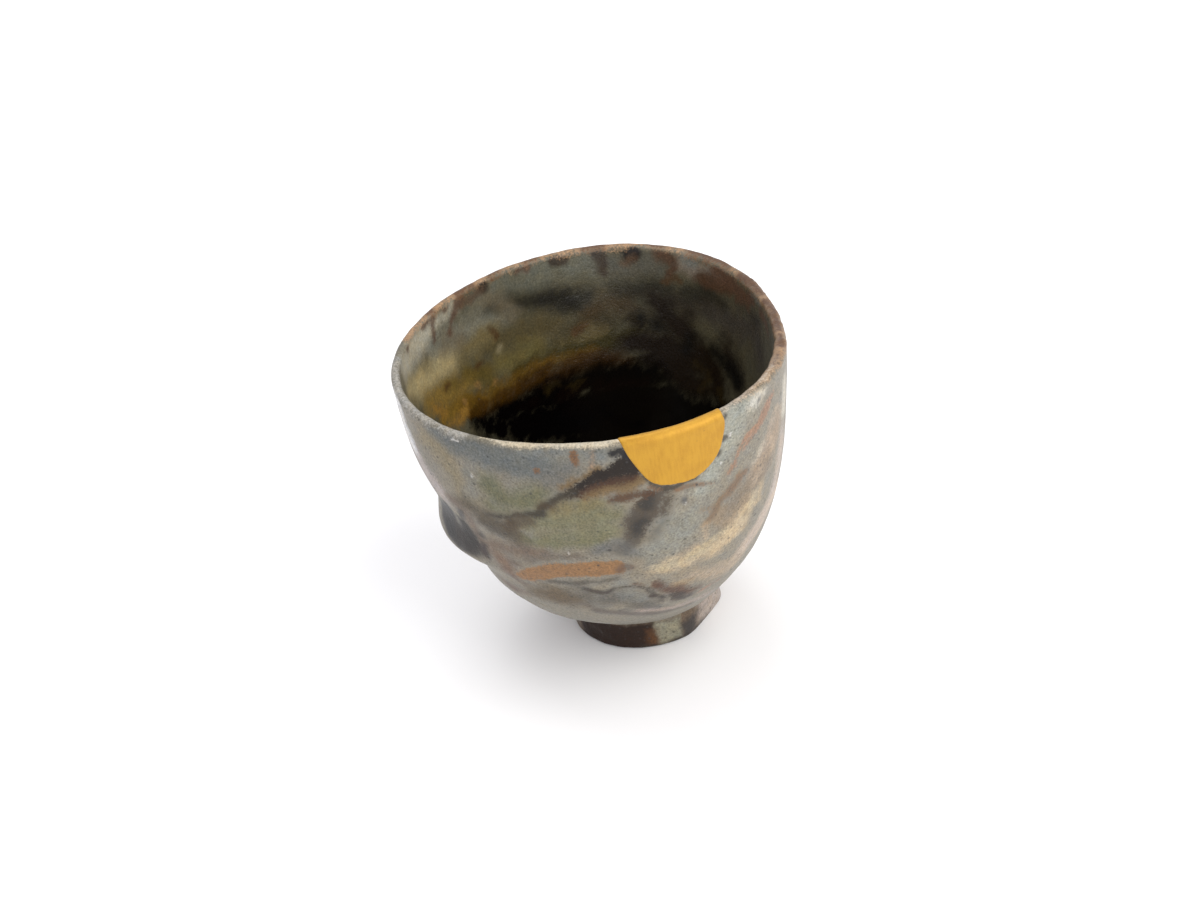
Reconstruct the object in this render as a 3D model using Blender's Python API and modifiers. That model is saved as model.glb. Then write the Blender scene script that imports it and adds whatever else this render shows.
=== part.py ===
# Kintsugi teacup
#
# A small hand-formed stoneware teacup on a turned foot ring. A piece of the rim broke away at the
# front, and the break is filled through the whole wall with gold lacquer.
#
# Units are metres. +Z is up and the foot stands on z = 0. The origin is under the middle of the
# cup's box. Azimuth 0 is +X, azimuth 90 degrees is +Y, and the repair is at the front, towards -Y.

import math

import bmesh
import bpy
from mathutils import Matrix, Vector

# Sizes of the clay body
RIM_RADIUS = 0.0398
CUP_HEIGHT = 0.067
LIP_WALL = 0.0021
BASE_WALL = 0.0040
FLOOR_THICKNESS = 0.0055

# Sizes of the foot ring
FOOT_RADIUS = 0.0153
FOOT_HEIGHT = 0.0065
FOOT_RING_WIDTH = 0.0040
FOOT_RECESS_DEPTH = 0.0030
FOOT_EDGE_BEVEL = 0.0004
FOOT_WEAR_DEPTH = 0.0015
FOOT_WEAR_AZIMUTH = math.radians(-35.5)

# Sizes of the broken place and its gold filling
BREAK_WIDTH = 0.0215
BREAK_DEPTH = 0.0126
BREAK_AZIMUTH = math.radians(-73.7)
FILL_CLEARANCE = 0.0003

# The belly's outline: share of the height from the foot ring to the rim, and share of the way
# from the foot ring's radius to the rim's radius.
BELLY_OUTLINE = (
    (0.00, 0.000),
    (0.035, 0.094),
    (0.09, 0.237),
    (0.175, 0.421),
    (0.29, 0.615),
    (0.44, 0.765),
    (0.635, 0.888),
    (0.835, 0.959),
    (1.00, 1.000),
)

# How the pinched clay leans: share of the height above the foot ring, and the centre's drift
# along X and along Y as shares of the rim's radius.
CENTRE_DRIFT = (
    (0.00, 0.052, 0.056),
    (0.19, -0.016, -0.006),
    (0.52, -0.032, -0.061),
    (1.00, 0.010, -0.020),
)

# The rim seen from above is not round: shares of the radius for two and for three lobes.
TWO_LOBES = (-0.027, 0.014)
THREE_LOBES = (-0.050, -0.018)
LOBE_GROWTH = 1.5

# The rim seen from the side is not level: shares of the cup's height for one and for two waves.
ONE_WAVE = (-0.024, -0.0246)
TWO_WAVES = (0.0, -0.0224)
WAVE_GROWTH = 2.0

# The wall is thicker towards +X, because the hollow lies a little towards -X.
HOLLOW_OFFSET = 0.00037

# A knuckle of clay on the left side, and the shallow press mark that surrounds it. Heights are
# above the table, widths are in azimuth.
KNUCKLE_AZIMUTH = math.radians(189.0)
KNUCKLE_HEIGHT = 0.0333
KNUCKLE_RELIEF = 0.0043
KNUCKLE_HALF_WIDTH = math.radians(19.5)
KNUCKLE_UPPER_SLOPE = 0.0044
KNUCKLE_LOWER_SLOPE = 0.0023
PRESS_MARK_HEIGHT = 0.0341
PRESS_MARK_DEPTH = 0.0038
PRESS_MARK_HALF_WIDTH = math.radians(40.0)
PRESS_MARK_HALF_HEIGHT = 0.0092

# The break's outline from its left end at the rim, down and round to its right end: share of the
# width measured from its middle, and share of the depth measured down from the rim.
BREAK_OUTLINE = (
    (-0.470, 0.00),
    (-0.385, 0.36),
    (-0.200, 0.85),
    (0.000, 1.00),
    (0.220, 0.98),
    (0.410, 0.74),
    (0.500, 0.28),
    (0.480, 0.00),
)

# How finely the round forms are divided
AZIMUTH_STEPS = 80
WALL_STEPS = 20
FLOOR_STEPS = 5
LIP_STEPS = 4
OUTLINE_STEPS = 4

# Cutters reach this far past what they cut.
CUTTER_MARGIN = 0.006

# A merge distance finer than the smallest edge
MERGE_DISTANCE = 0.00002

OUTER_SIDE = 0.0
INNER_SIDE = 1.0
INNER_GROUP = "inner_side"


# Curves


def smooth_curve(stations, position, column=1):
    """Return the height of a smooth curve through stations at a position along it."""
    count = len(stations)
    last = count - 1
    index = 0
    while index < last - 1 and position > stations[index + 1][0]:
        index += 1

    def slope(station):
        before = stations[max(station - 1, 0)]
        after = stations[min(station + 1, last)]
        return (after[column] - before[column]) / (after[0] - before[0])

    start = stations[index]
    end = stations[index + 1]
    span = end[0] - start[0]
    t = min(max((position - start[0]) / span, 0.0), 1.0)
    start_weight = 2 * t**3 - 3 * t**2 + 1
    start_slope_weight = t**3 - 2 * t**2 + t
    end_slope_weight = t**3 - t**2
    return (
        start_weight * start[column]
        + start_slope_weight * span * slope(index)
        + (1 - start_weight) * end[column]
        + end_slope_weight * span * slope(index + 1)
    )


def bell(distance, half_width):
    """Return a soft hump of height one that fades over its half width."""
    return math.exp(-0.5 * (distance / half_width) ** 2)


def angle_between(azimuth, other):
    """Return the turn from one azimuth to another, between minus and plus half a turn."""
    return (azimuth - other + math.pi) % (2 * math.pi) - math.pi


def height_share(height):
    """Return how far up the belly a height lies, from 0 at the foot ring to 1 at the rim."""
    return min(max((height - FOOT_HEIGHT) / (CUP_HEIGHT - FOOT_HEIGHT), 0.0), 1.0)


# The turned profile


def outer_wall_point(share):
    """Return radius and height of the belly's outer side at a share of its height."""
    radius = FOOT_RADIUS + (RIM_RADIUS - FOOT_RADIUS) * smooth_curve(BELLY_OUTLINE, share)
    height = FOOT_HEIGHT + (CUP_HEIGHT - LIP_WALL / 2 - FOOT_HEIGHT) * share
    return Vector((radius, height))


def outward_normal(share):
    """Return the direction that points out of the belly's outer side."""
    small = 0.001
    lower = outer_wall_point(max(share - small, 0.0))
    upper = outer_wall_point(min(share + small, 1.0))
    along = (upper - lower).normalized()
    return Vector((along.y, -along.x))


def wall_thickness(share):
    """Return the wall's thickness, which grows from the lip down to the foot."""
    return LIP_WALL + (BASE_WALL - LIP_WALL) * (1.0 - share)


def inner_wall_point(share):
    """Return radius and height of the hollow's side, one wall inside the belly."""
    if share >= 1.0:
        return outer_wall_point(1.0) - Vector((LIP_WALL, 0.0))
    return outer_wall_point(share) - outward_normal(share) * wall_thickness(share)


def floor_points():
    """Return the hollow's floor from its middle outwards, meeting the wall without a corner."""
    floor_height = FOOT_RECESS_DEPTH + FLOOR_THICKNESS
    joint = inner_wall_point(floor_joint_share())
    beyond = inner_wall_point(floor_joint_share() + 0.01)
    slope = (beyond.y - joint.y) / (beyond.x - joint.x)
    power = slope * joint.x / (joint.y - floor_height)
    points = []
    for step in range(FLOOR_STEPS):
        radius = joint.x * step / FLOOR_STEPS
        height = floor_height + (joint.y - floor_height) * (radius / joint.x) ** power
        points.append((radius, height, INNER_SIDE))
    return points


def floor_joint_share():
    """Return the share of the belly's height where the hollow's wall turns into its floor."""
    clear_height = FOOT_RECESS_DEPTH + FLOOR_THICKNESS + BASE_WALL / 2
    share = 0.0
    while inner_wall_point(share).y < clear_height:
        share += 0.005
    return share


def inner_wall_points():
    """Return the hollow's side from the floor up to the lip."""
    start = floor_joint_share()
    points = []
    for step in range(WALL_STEPS + 1):
        share = start + (1.0 - start) * step / WALL_STEPS
        point = inner_wall_point(share)
        points.append((point.x, point.y, INNER_SIDE))
    return points


def lip_points():
    """Return the lip's half round from the hollow's side over to the outer side."""
    middle = outer_wall_point(1.0) - Vector((LIP_WALL / 2, 0.0))
    points = []
    for step in range(1, LIP_STEPS):
        share = step / LIP_STEPS
        angle = math.pi * (1.0 - share)
        radius = middle.x + LIP_WALL / 2 * math.cos(angle)
        height = middle.y + LIP_WALL / 2 * math.sin(angle)
        points.append((radius, height, INNER_SIDE * (1.0 - share)))
    return points


def outer_wall_points():
    """Return the outer side from the lip down to the foot ring, closer together low down."""
    points = []
    for step in range(WALL_STEPS + 1):
        share = (1.0 - step / WALL_STEPS) ** 1.35
        point = outer_wall_point(share)
        points.append((point.x, point.y, OUTER_SIDE))
    return points


def foot_points():
    """Return the foot ring from its outer side under its edge to the middle of its recess."""
    inner_radius = FOOT_RADIUS - FOOT_RING_WIDTH
    return [
        (FOOT_RADIUS, FOOT_HEIGHT / 2, OUTER_SIDE),
        (FOOT_RADIUS, FOOT_EDGE_BEVEL, OUTER_SIDE),
        (FOOT_RADIUS - FOOT_EDGE_BEVEL, 0.0, OUTER_SIDE),
        (inner_radius + FOOT_EDGE_BEVEL, 0.0, OUTER_SIDE),
        (inner_radius, FOOT_EDGE_BEVEL, OUTER_SIDE),
        (inner_radius - FOOT_RECESS_DEPTH / 4, FOOT_RECESS_DEPTH, OUTER_SIDE),
        (0.0, FOOT_RECESS_DEPTH, OUTER_SIDE),
    ]


def turned_profile():
    """Return the whole profile, from the hollow's middle over the lip and down to the recess."""
    return floor_points() + inner_wall_points() + lip_points() + outer_wall_points() + foot_points()


# How the soft clay departs from the turned form


def out_of_round(azimuth, share):
    """Return the factor by which the wall's radius changes round the cup."""
    lobes = (
        TWO_LOBES[0] * math.cos(2 * azimuth)
        + TWO_LOBES[1] * math.sin(2 * azimuth)
        + THREE_LOBES[0] * math.cos(3 * azimuth)
        + THREE_LOBES[1] * math.sin(3 * azimuth)
    )
    return 1.0 + lobes * share**LOBE_GROWTH


def knuckle_relief(azimuth, height):
    """Return how far the knuckle stands out of the wall."""
    drop = height - KNUCKLE_HEIGHT
    slope = KNUCKLE_UPPER_SLOPE if drop > 0 else KNUCKLE_LOWER_SLOPE
    turn = angle_between(azimuth, KNUCKLE_AZIMUTH)
    return KNUCKLE_RELIEF * bell(turn, KNUCKLE_HALF_WIDTH) * bell(drop, slope)


def press_mark_depth(azimuth, height):
    """Return how far the wall is pressed in around the knuckle."""
    turn = angle_between(azimuth, KNUCKLE_AZIMUTH)
    drop = height - PRESS_MARK_HEIGHT
    return PRESS_MARK_DEPTH * bell(turn, PRESS_MARK_HALF_WIDTH) * bell(drop, PRESS_MARK_HALF_HEIGHT)


def rim_wave(azimuth, share):
    """Return how far the rim rises or dips, fading out down the wall."""
    wave = (
        ONE_WAVE[0] * math.cos(azimuth)
        + ONE_WAVE[1] * math.sin(azimuth)
        + TWO_WAVES[0] * math.cos(2 * azimuth)
        + TWO_WAVES[1] * math.sin(2 * azimuth)
    )
    return CUP_HEIGHT * wave * share**WAVE_GROWTH


def worn_foot_radius(radius, azimuth, height):
    """Return the foot's radius where its front right edge is worn to a slanting flat."""
    wear = FOOT_WEAR_DEPTH * (1.0 - height / FOOT_HEIGHT)
    turn = angle_between(azimuth, FOOT_WEAR_AZIMUTH)
    if math.cos(turn) <= 0.0:
        return radius
    return min(radius, (FOOT_RADIUS - wear) / math.cos(turn))


def formed_point(radius, azimuth, height, inner_side):
    """Return where a point of the turned form lies on the finished, hand-formed cup."""
    share = height_share(height)
    formed_radius = radius * out_of_round(azimuth, share)
    if height < FOOT_HEIGHT:
        formed_radius = worn_foot_radius(radius, azimuth, height)
    if radius > FOOT_RADIUS:
        formed_radius += (1.0 - inner_side) * knuckle_relief(azimuth, height)
        formed_radius -= press_mark_depth(azimuth, height)
    centre_x = RIM_RADIUS * smooth_curve(CENTRE_DRIFT, share, 1) - inner_side * HOLLOW_OFFSET * share
    centre_y = RIM_RADIUS * smooth_curve(CENTRE_DRIFT, share, 2)
    return Vector((
        centre_x + formed_radius * math.cos(azimuth),
        centre_y + formed_radius * math.sin(azimuth),
        height + rim_wave(azimuth, share),
    ))


# Building


def clear_scene():
    """Remove every object that the scene starts with."""
    for item in list(bpy.data.objects):
        bpy.data.objects.remove(item, do_unlink=True)


def new_collection(name):
    """Add a collection to the scene."""
    collection = bpy.data.collections.new(name)
    bpy.context.scene.collection.children.link(collection)
    return collection


def new_material(name, colour, roughness, metallic):
    """Make a Principled material from a colour, a roughness and a metallic value."""
    material = bpy.data.materials.new(name)
    material.use_nodes = True
    shader = material.node_tree.nodes["Principled BSDF"]
    shader.inputs["Base Color"].default_value = (*colour, 1.0)
    shader.inputs["Roughness"].default_value = roughness
    shader.inputs["Metallic"].default_value = metallic
    material.diffuse_color = (*colour, 1.0)
    return material


def evaluated_mesh(item):
    """Return a new mesh of an object with its modifiers applied."""
    bpy.context.view_layer.update()
    depsgraph = bpy.context.evaluated_depsgraph_get()
    return bpy.data.meshes.new_from_object(item.evaluated_get(depsgraph))


def turned_blank(collection):
    """Turn the profile once round the Z axis and return the round cup."""
    profile = turned_profile()
    mesh = bpy.data.meshes.new("turned_blank")
    points = [(radius, 0.0, height) for radius, height, _ in profile]
    edges = [(index, index + 1) for index in range(len(profile) - 1)]
    mesh.from_pydata(points, edges, [])
    blank = bpy.data.objects.new("turned_blank", mesh)
    collection.objects.link(blank)
    group = blank.vertex_groups.new(name=INNER_GROUP)
    for index, (_, _, inner_side) in enumerate(profile):
        group.add([index], inner_side, "REPLACE")
    screw = blank.modifiers.new("turn", "SCREW")
    screw.axis = "Z"
    screw.angle = 2 * math.pi
    screw.steps = AZIMUTH_STEPS
    screw.render_steps = AZIMUTH_STEPS
    screw.use_merge_vertices = True
    screw.merge_threshold = MERGE_DISTANCE
    return blank


def hand_formed_mesh(collection):
    """Return the mesh of the whole, unbroken cup, with its box centred on the origin."""
    blank = turned_blank(collection)
    mesh = evaluated_mesh(blank)
    bpy.data.objects.remove(blank, do_unlink=True)
    for vertex in mesh.vertices:
        radius = math.hypot(vertex.co.x, vertex.co.y)
        azimuth = math.atan2(vertex.co.y, vertex.co.x)
        inner_side = vertex.groups[0].weight if vertex.groups else OUTER_SIDE
        vertex.co = formed_point(radius, azimuth, vertex.co.z, inner_side)
    shift = middle_of_base(mesh)
    mesh.transform(Matrix.Translation(-shift))
    mesh.shade_smooth()
    mesh.set_sharp_from_angle(angle=math.radians(40.0))
    mesh.name = "hand_formed_cup"
    return mesh, shift


def middle_of_base(mesh):
    """Return the middle of a mesh's box at table height."""
    xs = [vertex.co.x for vertex in mesh.vertices]
    ys = [vertex.co.y for vertex in mesh.vertices]
    return Vector(((min(xs) + max(xs)) / 2, (min(ys) + max(ys)) / 2, 0.0))


def break_outline(clearance):
    """Return the break's outline in its own plane, drawn in by a clearance on every side."""
    stations = [(index, across, down) for index, (across, down) in enumerate(BREAK_OUTLINE)]
    last = len(stations) - 1
    line = []
    for step in range(last * OUTLINE_STEPS + 1):
        position = step / OUTLINE_STEPS
        across = BREAK_WIDTH * smooth_curve(stations, position, 1)
        down = BREAK_DEPTH * smooth_curve(stations, position, 2)
        line.append(Vector((across, -down)))
    drawn_in = []
    for index, point in enumerate(line):
        along = line[min(index + 1, len(line) - 1)] - line[max(index - 1, 0)]
        inward = Vector((-along.y, along.x)).normalized()
        drawn_in.append(point + inward * clearance)
    top = Vector((0.0, CUTTER_MARGIN))
    return [drawn_in[0] + top] + drawn_in + [drawn_in[-1] + top]


def break_cutter(name, clearance, place, collection):
    """Make a prism with the break's outline that reaches right through the cup's wall."""
    outline = break_outline(clearance)
    curve = bpy.data.curves.new(name, "CURVE")
    curve.dimensions = "2D"
    curve.fill_mode = "BOTH"
    curve.extrude = CUTTER_MARGIN + BASE_WALL
    spline = curve.splines.new("POLY")
    spline.points.add(len(outline) - 1)
    for point, (across, up) in zip(spline.points, outline):
        point.co = (across, up, 0.0, 1.0)
    spline.use_cyclic_u = True
    drawn = bpy.data.objects.new(name + "_outline", curve)
    collection.objects.link(drawn)
    mesh = evaluated_mesh(drawn)
    bpy.data.objects.remove(drawn, do_unlink=True)
    weld(mesh)
    cutter = bpy.data.objects.new(name, mesh)
    cutter.matrix_world = place
    cutter.hide_render = True
    cutter.display_type = "WIRE"
    collection.objects.link(cutter)
    return cutter


def weld(mesh):
    """Join the loose caps of a filled curve to its sides and turn every face outwards."""
    form = bmesh.new()
    form.from_mesh(mesh)
    bmesh.ops.remove_doubles(form, verts=form.verts, dist=MERGE_DISTANCE)
    bmesh.ops.recalc_face_normals(form, faces=form.faces)
    form.to_mesh(mesh)
    form.free()


def break_place(shift):
    """Return where the break is: upright against the wall, its origin on the rim."""
    rim = formed_point(RIM_RADIUS, BREAK_AZIMUTH, CUP_HEIGHT, OUTER_SIDE) - shift
    upright = Matrix.Rotation(math.pi / 2, 4, "X")
    facing = Matrix.Rotation(BREAK_AZIMUTH + math.pi / 2, 4, "Z")
    return Matrix.Translation(rim) @ facing @ upright


def new_piece(name, mesh, material, cutter, operation, collection, parent):
    """Add one piece of the cup: the whole form less, or only within, a cutter."""
    piece = bpy.data.objects.new(name, mesh)
    piece.data.materials.append(material)
    piece.parent = parent
    cut = piece.modifiers.new("break", "BOOLEAN")
    cut.operation = operation
    cut.solver = "EXACT"
    cut.object = cutter
    collection.objects.link(piece)
    return piece


def build():
    """Build the cup and its filling."""
    clear_scene()
    pieces = new_collection("kintsugi_teacup")
    cutters = new_collection("cutters")
    origin = bpy.data.objects.new("teacup_origin", None)
    pieces.objects.link(origin)

    whole_cup, shift = hand_formed_mesh(cutters)
    place = break_place(shift)
    clay_cutter = break_cutter("break_in_clay", 0.0, place, cutters)
    fill_cutter = break_cutter("extent_of_fill", FILL_CLEARANCE, place, cutters)

    clay = new_material("ash_glazed_stoneware", (0.27, 0.24, 0.19), 0.45, 0.0)
    gold = new_material("gold_lacquer", (0.66, 0.36, 0.06), 0.35, 1.0)
    new_piece("cup_body", whole_cup, clay, clay_cutter, "DIFFERENCE", pieces, origin)
    new_piece("gold_lacquer_fill", whole_cup.copy(), gold, fill_cutter, "INTERSECT", pieces, origin)


build()
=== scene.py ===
"""Looks of the kintsugi teacup: the glazed clay, the gold filling, the studio and the camera.

All sizes are metres unless a name says otherwise, +Z is up, and the cup stands at the origin.
Azimuth 0 is +X, azimuth 90 degrees is +Y, and the gold filling is at the front, towards -Y.
"""

import sys

import logging
import math
from dataclasses import dataclass, field
from enum import Enum

import bmesh
import bpy
import numpy as np
from mathutils import Matrix, Vector, noise


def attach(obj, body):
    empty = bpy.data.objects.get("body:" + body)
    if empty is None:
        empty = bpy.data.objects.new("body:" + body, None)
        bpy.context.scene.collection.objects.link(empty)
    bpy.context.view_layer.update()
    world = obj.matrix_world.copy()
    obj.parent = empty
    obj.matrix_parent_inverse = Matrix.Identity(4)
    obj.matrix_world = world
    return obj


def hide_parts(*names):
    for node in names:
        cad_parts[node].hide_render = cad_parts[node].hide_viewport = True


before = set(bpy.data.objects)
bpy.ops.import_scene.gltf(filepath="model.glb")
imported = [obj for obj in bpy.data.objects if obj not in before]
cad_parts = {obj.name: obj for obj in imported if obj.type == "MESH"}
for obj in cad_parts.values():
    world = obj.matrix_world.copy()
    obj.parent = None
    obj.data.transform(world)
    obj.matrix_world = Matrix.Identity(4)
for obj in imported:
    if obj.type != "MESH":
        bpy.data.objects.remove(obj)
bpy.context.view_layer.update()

MM = 0.001
LOG = logging.getLogger("teacup")


class Side(Enum):
    """The side of the wall that a mark lies on."""

    OUTSIDE = 0.0
    LIP = 0.5
    INSIDE = 1.0


class Grain(Enum):
    """The grain that makes a mark's edge ragged, by its output on the grain group."""

    COARSE = "Coarse"
    MIXED = "Mixed"
    FINE = "Fine"
    STIPPLED = "Stippled"
    RUNNING = "Running"


def smooth_curve(stations: tuple, heights: tuple, position: np.ndarray) -> np.ndarray:
    """Evaluate the smooth curve through stations.

    Args:
        stations: positions of the known points, rising.
        heights: the curve's value at each station.
        position: where to read the curve.

    Returns:
        The curve's value at each position.
    """
    xs = np.asarray(stations, dtype=float)
    ys = np.asarray(heights, dtype=float)
    slopes = np.empty(len(xs))
    slopes[1:-1] = (ys[2:] - ys[:-2]) / (xs[2:] - xs[:-2])
    slopes[0] = (ys[1] - ys[0]) / (xs[1] - xs[0])
    slopes[-1] = (ys[-1] - ys[-2]) / (xs[-1] - xs[-2])
    index = np.clip(np.searchsorted(xs, position) - 1, 0, len(xs) - 2)
    span = xs[index + 1] - xs[index]
    t = np.clip((position - xs[index]) / span, 0.0, 1.0)
    start = 2 * t**3 - 3 * t**2 + 1
    return (
        start * ys[index]
        + (t**3 - 2 * t**2 + t) * span * slopes[index]
        + (1 - start) * ys[index + 1]
        + (t**3 - t**2) * span * slopes[index + 1]
    )


def bell(distance: np.ndarray, half_width: float) -> np.ndarray:
    """Return a soft hump of height one that fades over its half width."""
    return np.exp(-0.5 * (distance / half_width) ** 2)


def turn_between(azimuth: np.ndarray, other: float) -> np.ndarray:
    """Return the turn from one azimuth to another, between minus and plus half a turn."""
    return (azimuth - other + math.pi) % (2 * math.pi) - math.pi


@dataclass(frozen=True)
class CupForm:
    """The hand-formed clay's surface, in the frame of the solids."""

    rim_radius: float = 0.0398
    height: float = 0.067
    lip_wall: float = 0.0021
    base_wall: float = 0.0040
    floor: float = 0.0055
    foot_radius: float = 0.0153
    foot_height: float = 0.0065
    ring_width: float = 0.0040
    recess: float = 0.0030
    edge_bevel: float = 0.0004
    wear_depth: float = 0.0014
    wear_power: float = 1.5
    wear_blend: float = 0.0009
    wear_azimuth: float = math.radians(-35.5)
    belly_shares: tuple = (0.0, 0.035, 0.09, 0.175, 0.29, 0.44, 0.635, 0.835, 1.0)
    belly_radii: tuple = (0.0, 0.094, 0.237, 0.421, 0.615, 0.765, 0.888, 0.959, 1.0)
    drift_shares: tuple = (0.0, 0.19, 0.52, 1.0)
    drift_x: tuple = (0.052, -0.016, -0.032, 0.010)
    drift_y: tuple = (0.056, -0.006, -0.061, -0.020)
    two_lobes: tuple = (-0.027, 0.014)
    three_lobes: tuple = (-0.050, -0.018)
    lobe_growth: float = 1.5
    one_wave: tuple = (-0.024, -0.0246)
    two_waves: tuple = (0.0, -0.0224)
    wave_growth: float = 2.0
    hollow_offset: float = 0.00037
    knuckle_azimuth: float = math.radians(189.0)
    knuckle_height: float = 0.0333
    knuckle_relief: float = 0.0043
    knuckle_half_width: float = math.radians(19.5)
    knuckle_upper: float = 0.0044
    knuckle_lower: float = 0.0023
    press_height: float = 0.0341
    press_depth: float = 0.0038
    press_half_width: float = math.radians(40.0)
    press_half_height: float = 0.0092
    shift: tuple = (-0.0016228, -0.0000850)

    def share(self, height: np.ndarray) -> np.ndarray:
        """Return how far up the belly a height lies, from 0 at the foot ring to 1 at the rim."""
        return np.clip((height - self.foot_height) / (self.height - self.foot_height), 0.0, 1.0)

    def wall_top(self) -> float:
        """Return the height at which the wall ends and the lip's half round starts."""
        return self.height - self.lip_wall / 2

    def outer_wall(self, share: np.ndarray) -> np.ndarray:
        """Return radius and height of the belly's outer side at shares of its height."""
        share = np.asarray(share, dtype=float)
        growth = smooth_curve(self.belly_shares, self.belly_radii, share)
        radius = self.foot_radius + (self.rim_radius - self.foot_radius) * growth
        height = self.foot_height + (self.wall_top() - self.foot_height) * share
        return np.stack([radius, height], axis=-1)

    def inner_wall(self, share: np.ndarray) -> np.ndarray:
        """Return radius and height of the hollow's side, one wall inside the belly."""
        share = np.asarray(share, dtype=float)
        small = 0.001
        upper = self.outer_wall(np.minimum(share + small, 1.0))
        along = upper - self.outer_wall(np.maximum(share - small, 0.0))
        along /= np.linalg.norm(along, axis=-1, keepdims=True)
        normal = np.stack([along[..., 1], -along[..., 0]], axis=-1)
        normal[share >= 1.0] = (1.0, 0.0)
        wall = self.lip_wall + (self.base_wall - self.lip_wall) * (1.0 - share)
        return self.outer_wall(share) - normal * wall[..., None]

    def over_the_lip(self, along: np.ndarray) -> np.ndarray:
        """Return the profile at distances from the lip's crown.

        Args:
            along: distance along the profile, below zero outside and above zero inside.

        Returns:
            Radius, height and side (0 outside, 1 inside) for each distance.
        """
        round_radius = self.lip_wall / 2
        quarter = math.pi / 2 * round_radius
        wall_height = self.wall_top() - self.foot_height
        share = np.clip(1.0 - (np.abs(along) - quarter) / wall_height, 0.0, 1.0)
        outside = self.outer_wall(share)
        inside = self.inner_wall(share)
        turned = np.clip(along / round_radius, -math.pi / 2, math.pi / 2)
        lip = np.stack([
            self.rim_radius - round_radius - round_radius * np.sin(turned),
            self.wall_top() + round_radius * np.cos(turned),
        ], axis=-1)
        on_lip = (np.abs(along) < quarter)[..., None]
        wall = np.where((along < 0)[..., None], outside, inside)
        points = np.where(on_lip, lip, wall)
        side = 0.5 + 0.5 * turned / (math.pi / 2)
        return np.concatenate([points, side[..., None]], axis=-1)

    def formed(self, radius: np.ndarray, azimuth: np.ndarray, height: np.ndarray,
               side: np.ndarray) -> np.ndarray:
        """Return where points of the turned form lie on the finished, hand-formed cup.

        Args:
            radius: distance from the turning axis.
            azimuth: direction round the axis, in radians.
            height: height above the table.
            side: 0 outside the wall, 1 inside it.

        Returns:
            The points, one row of x, y and z for each.
        """
        share = self.share(height)
        lobes = (
            self.two_lobes[0] * np.cos(2 * azimuth)
            + self.two_lobes[1] * np.sin(2 * azimuth)
            + self.three_lobes[0] * np.cos(3 * azimuth)
            + self.three_lobes[1] * np.sin(3 * azimuth)
        )
        formed = radius * (1.0 + lobes * share**self.lobe_growth)
        facing = np.cos(turn_between(azimuth, self.wear_azimuth))
        wear = self.wear_depth * np.clip(1.0 - height / self.foot_height, 0.0, 1.0) ** self.wear_power
        flat = (self.foot_radius - wear) / np.maximum(facing, 0.01)
        in_foot = (height < self.foot_height) & (side < 0.5) & (facing > 0.0)
        in_foot = in_foot & (radius > self.foot_radius - self.ring_width / 2)
        nearer = np.clip(0.5 + 0.5 * (flat - formed) / self.wear_blend, 0.0, 1.0)
        worn = flat * (1.0 - nearer) + formed * nearer
        worn = worn - self.wear_blend * nearer * (1.0 - nearer)
        formed = np.where(in_foot, worn, formed)
        lumps = self.knuckle(azimuth, height) * (1.0 - side) - self.press_mark(azimuth, height)
        formed = formed + np.where(radius > self.foot_radius, lumps, 0.0)
        centre_x = self.rim_radius * smooth_curve(self.drift_shares, self.drift_x, share)
        centre_x = centre_x - side * self.hollow_offset * share
        centre_y = self.rim_radius * smooth_curve(self.drift_shares, self.drift_y, share)
        wave = (
            self.one_wave[0] * np.cos(azimuth)
            + self.one_wave[1] * np.sin(azimuth)
            + self.two_waves[0] * np.cos(2 * azimuth)
            + self.two_waves[1] * np.sin(2 * azimuth)
        )
        return np.stack([
            centre_x + formed * np.cos(azimuth) - self.shift[0],
            centre_y + formed * np.sin(azimuth) - self.shift[1],
            height + self.height * wave * share**self.wave_growth,
        ], axis=-1)

    def knuckle(self, azimuth: np.ndarray, height: np.ndarray) -> np.ndarray:
        """Return how far the knuckle of clay stands out of the wall."""
        drop = height - self.knuckle_height
        slope = np.where(drop > 0, self.knuckle_upper, self.knuckle_lower)
        turn = turn_between(azimuth, self.knuckle_azimuth)
        return self.knuckle_relief * bell(turn, self.knuckle_half_width) * bell(drop, slope)

    def press_mark(self, azimuth: np.ndarray, height: np.ndarray) -> np.ndarray:
        """Return how far the wall is pressed in around the knuckle."""
        turn = turn_between(azimuth, self.knuckle_azimuth)
        drop = height - self.press_height
        depth = self.press_depth * bell(turn, self.press_half_width)
        return depth * bell(drop, self.press_half_height)

    def wall_at(self, azimuth: np.ndarray, along: np.ndarray) -> np.ndarray:
        """Return points of the formed wall at azimuths and distances from the lip's crown."""
        profile = self.over_the_lip(along)
        return self.formed(profile[..., 0], azimuth, profile[..., 1], profile[..., 2])

    def along_at_height(self, height: np.ndarray, side: Side) -> np.ndarray:
        """Return the distance from the lip's crown at which the turned wall has a height."""
        if side is Side.LIP:
            return np.zeros_like(height)
        quarter = math.pi / 2 * self.lip_wall / 2
        down = quarter + np.maximum(self.wall_top() - height, 0.0)
        return down if side is Side.INSIDE else -down


FORM = CupForm()


# Modelling with Blender's own tools


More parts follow.
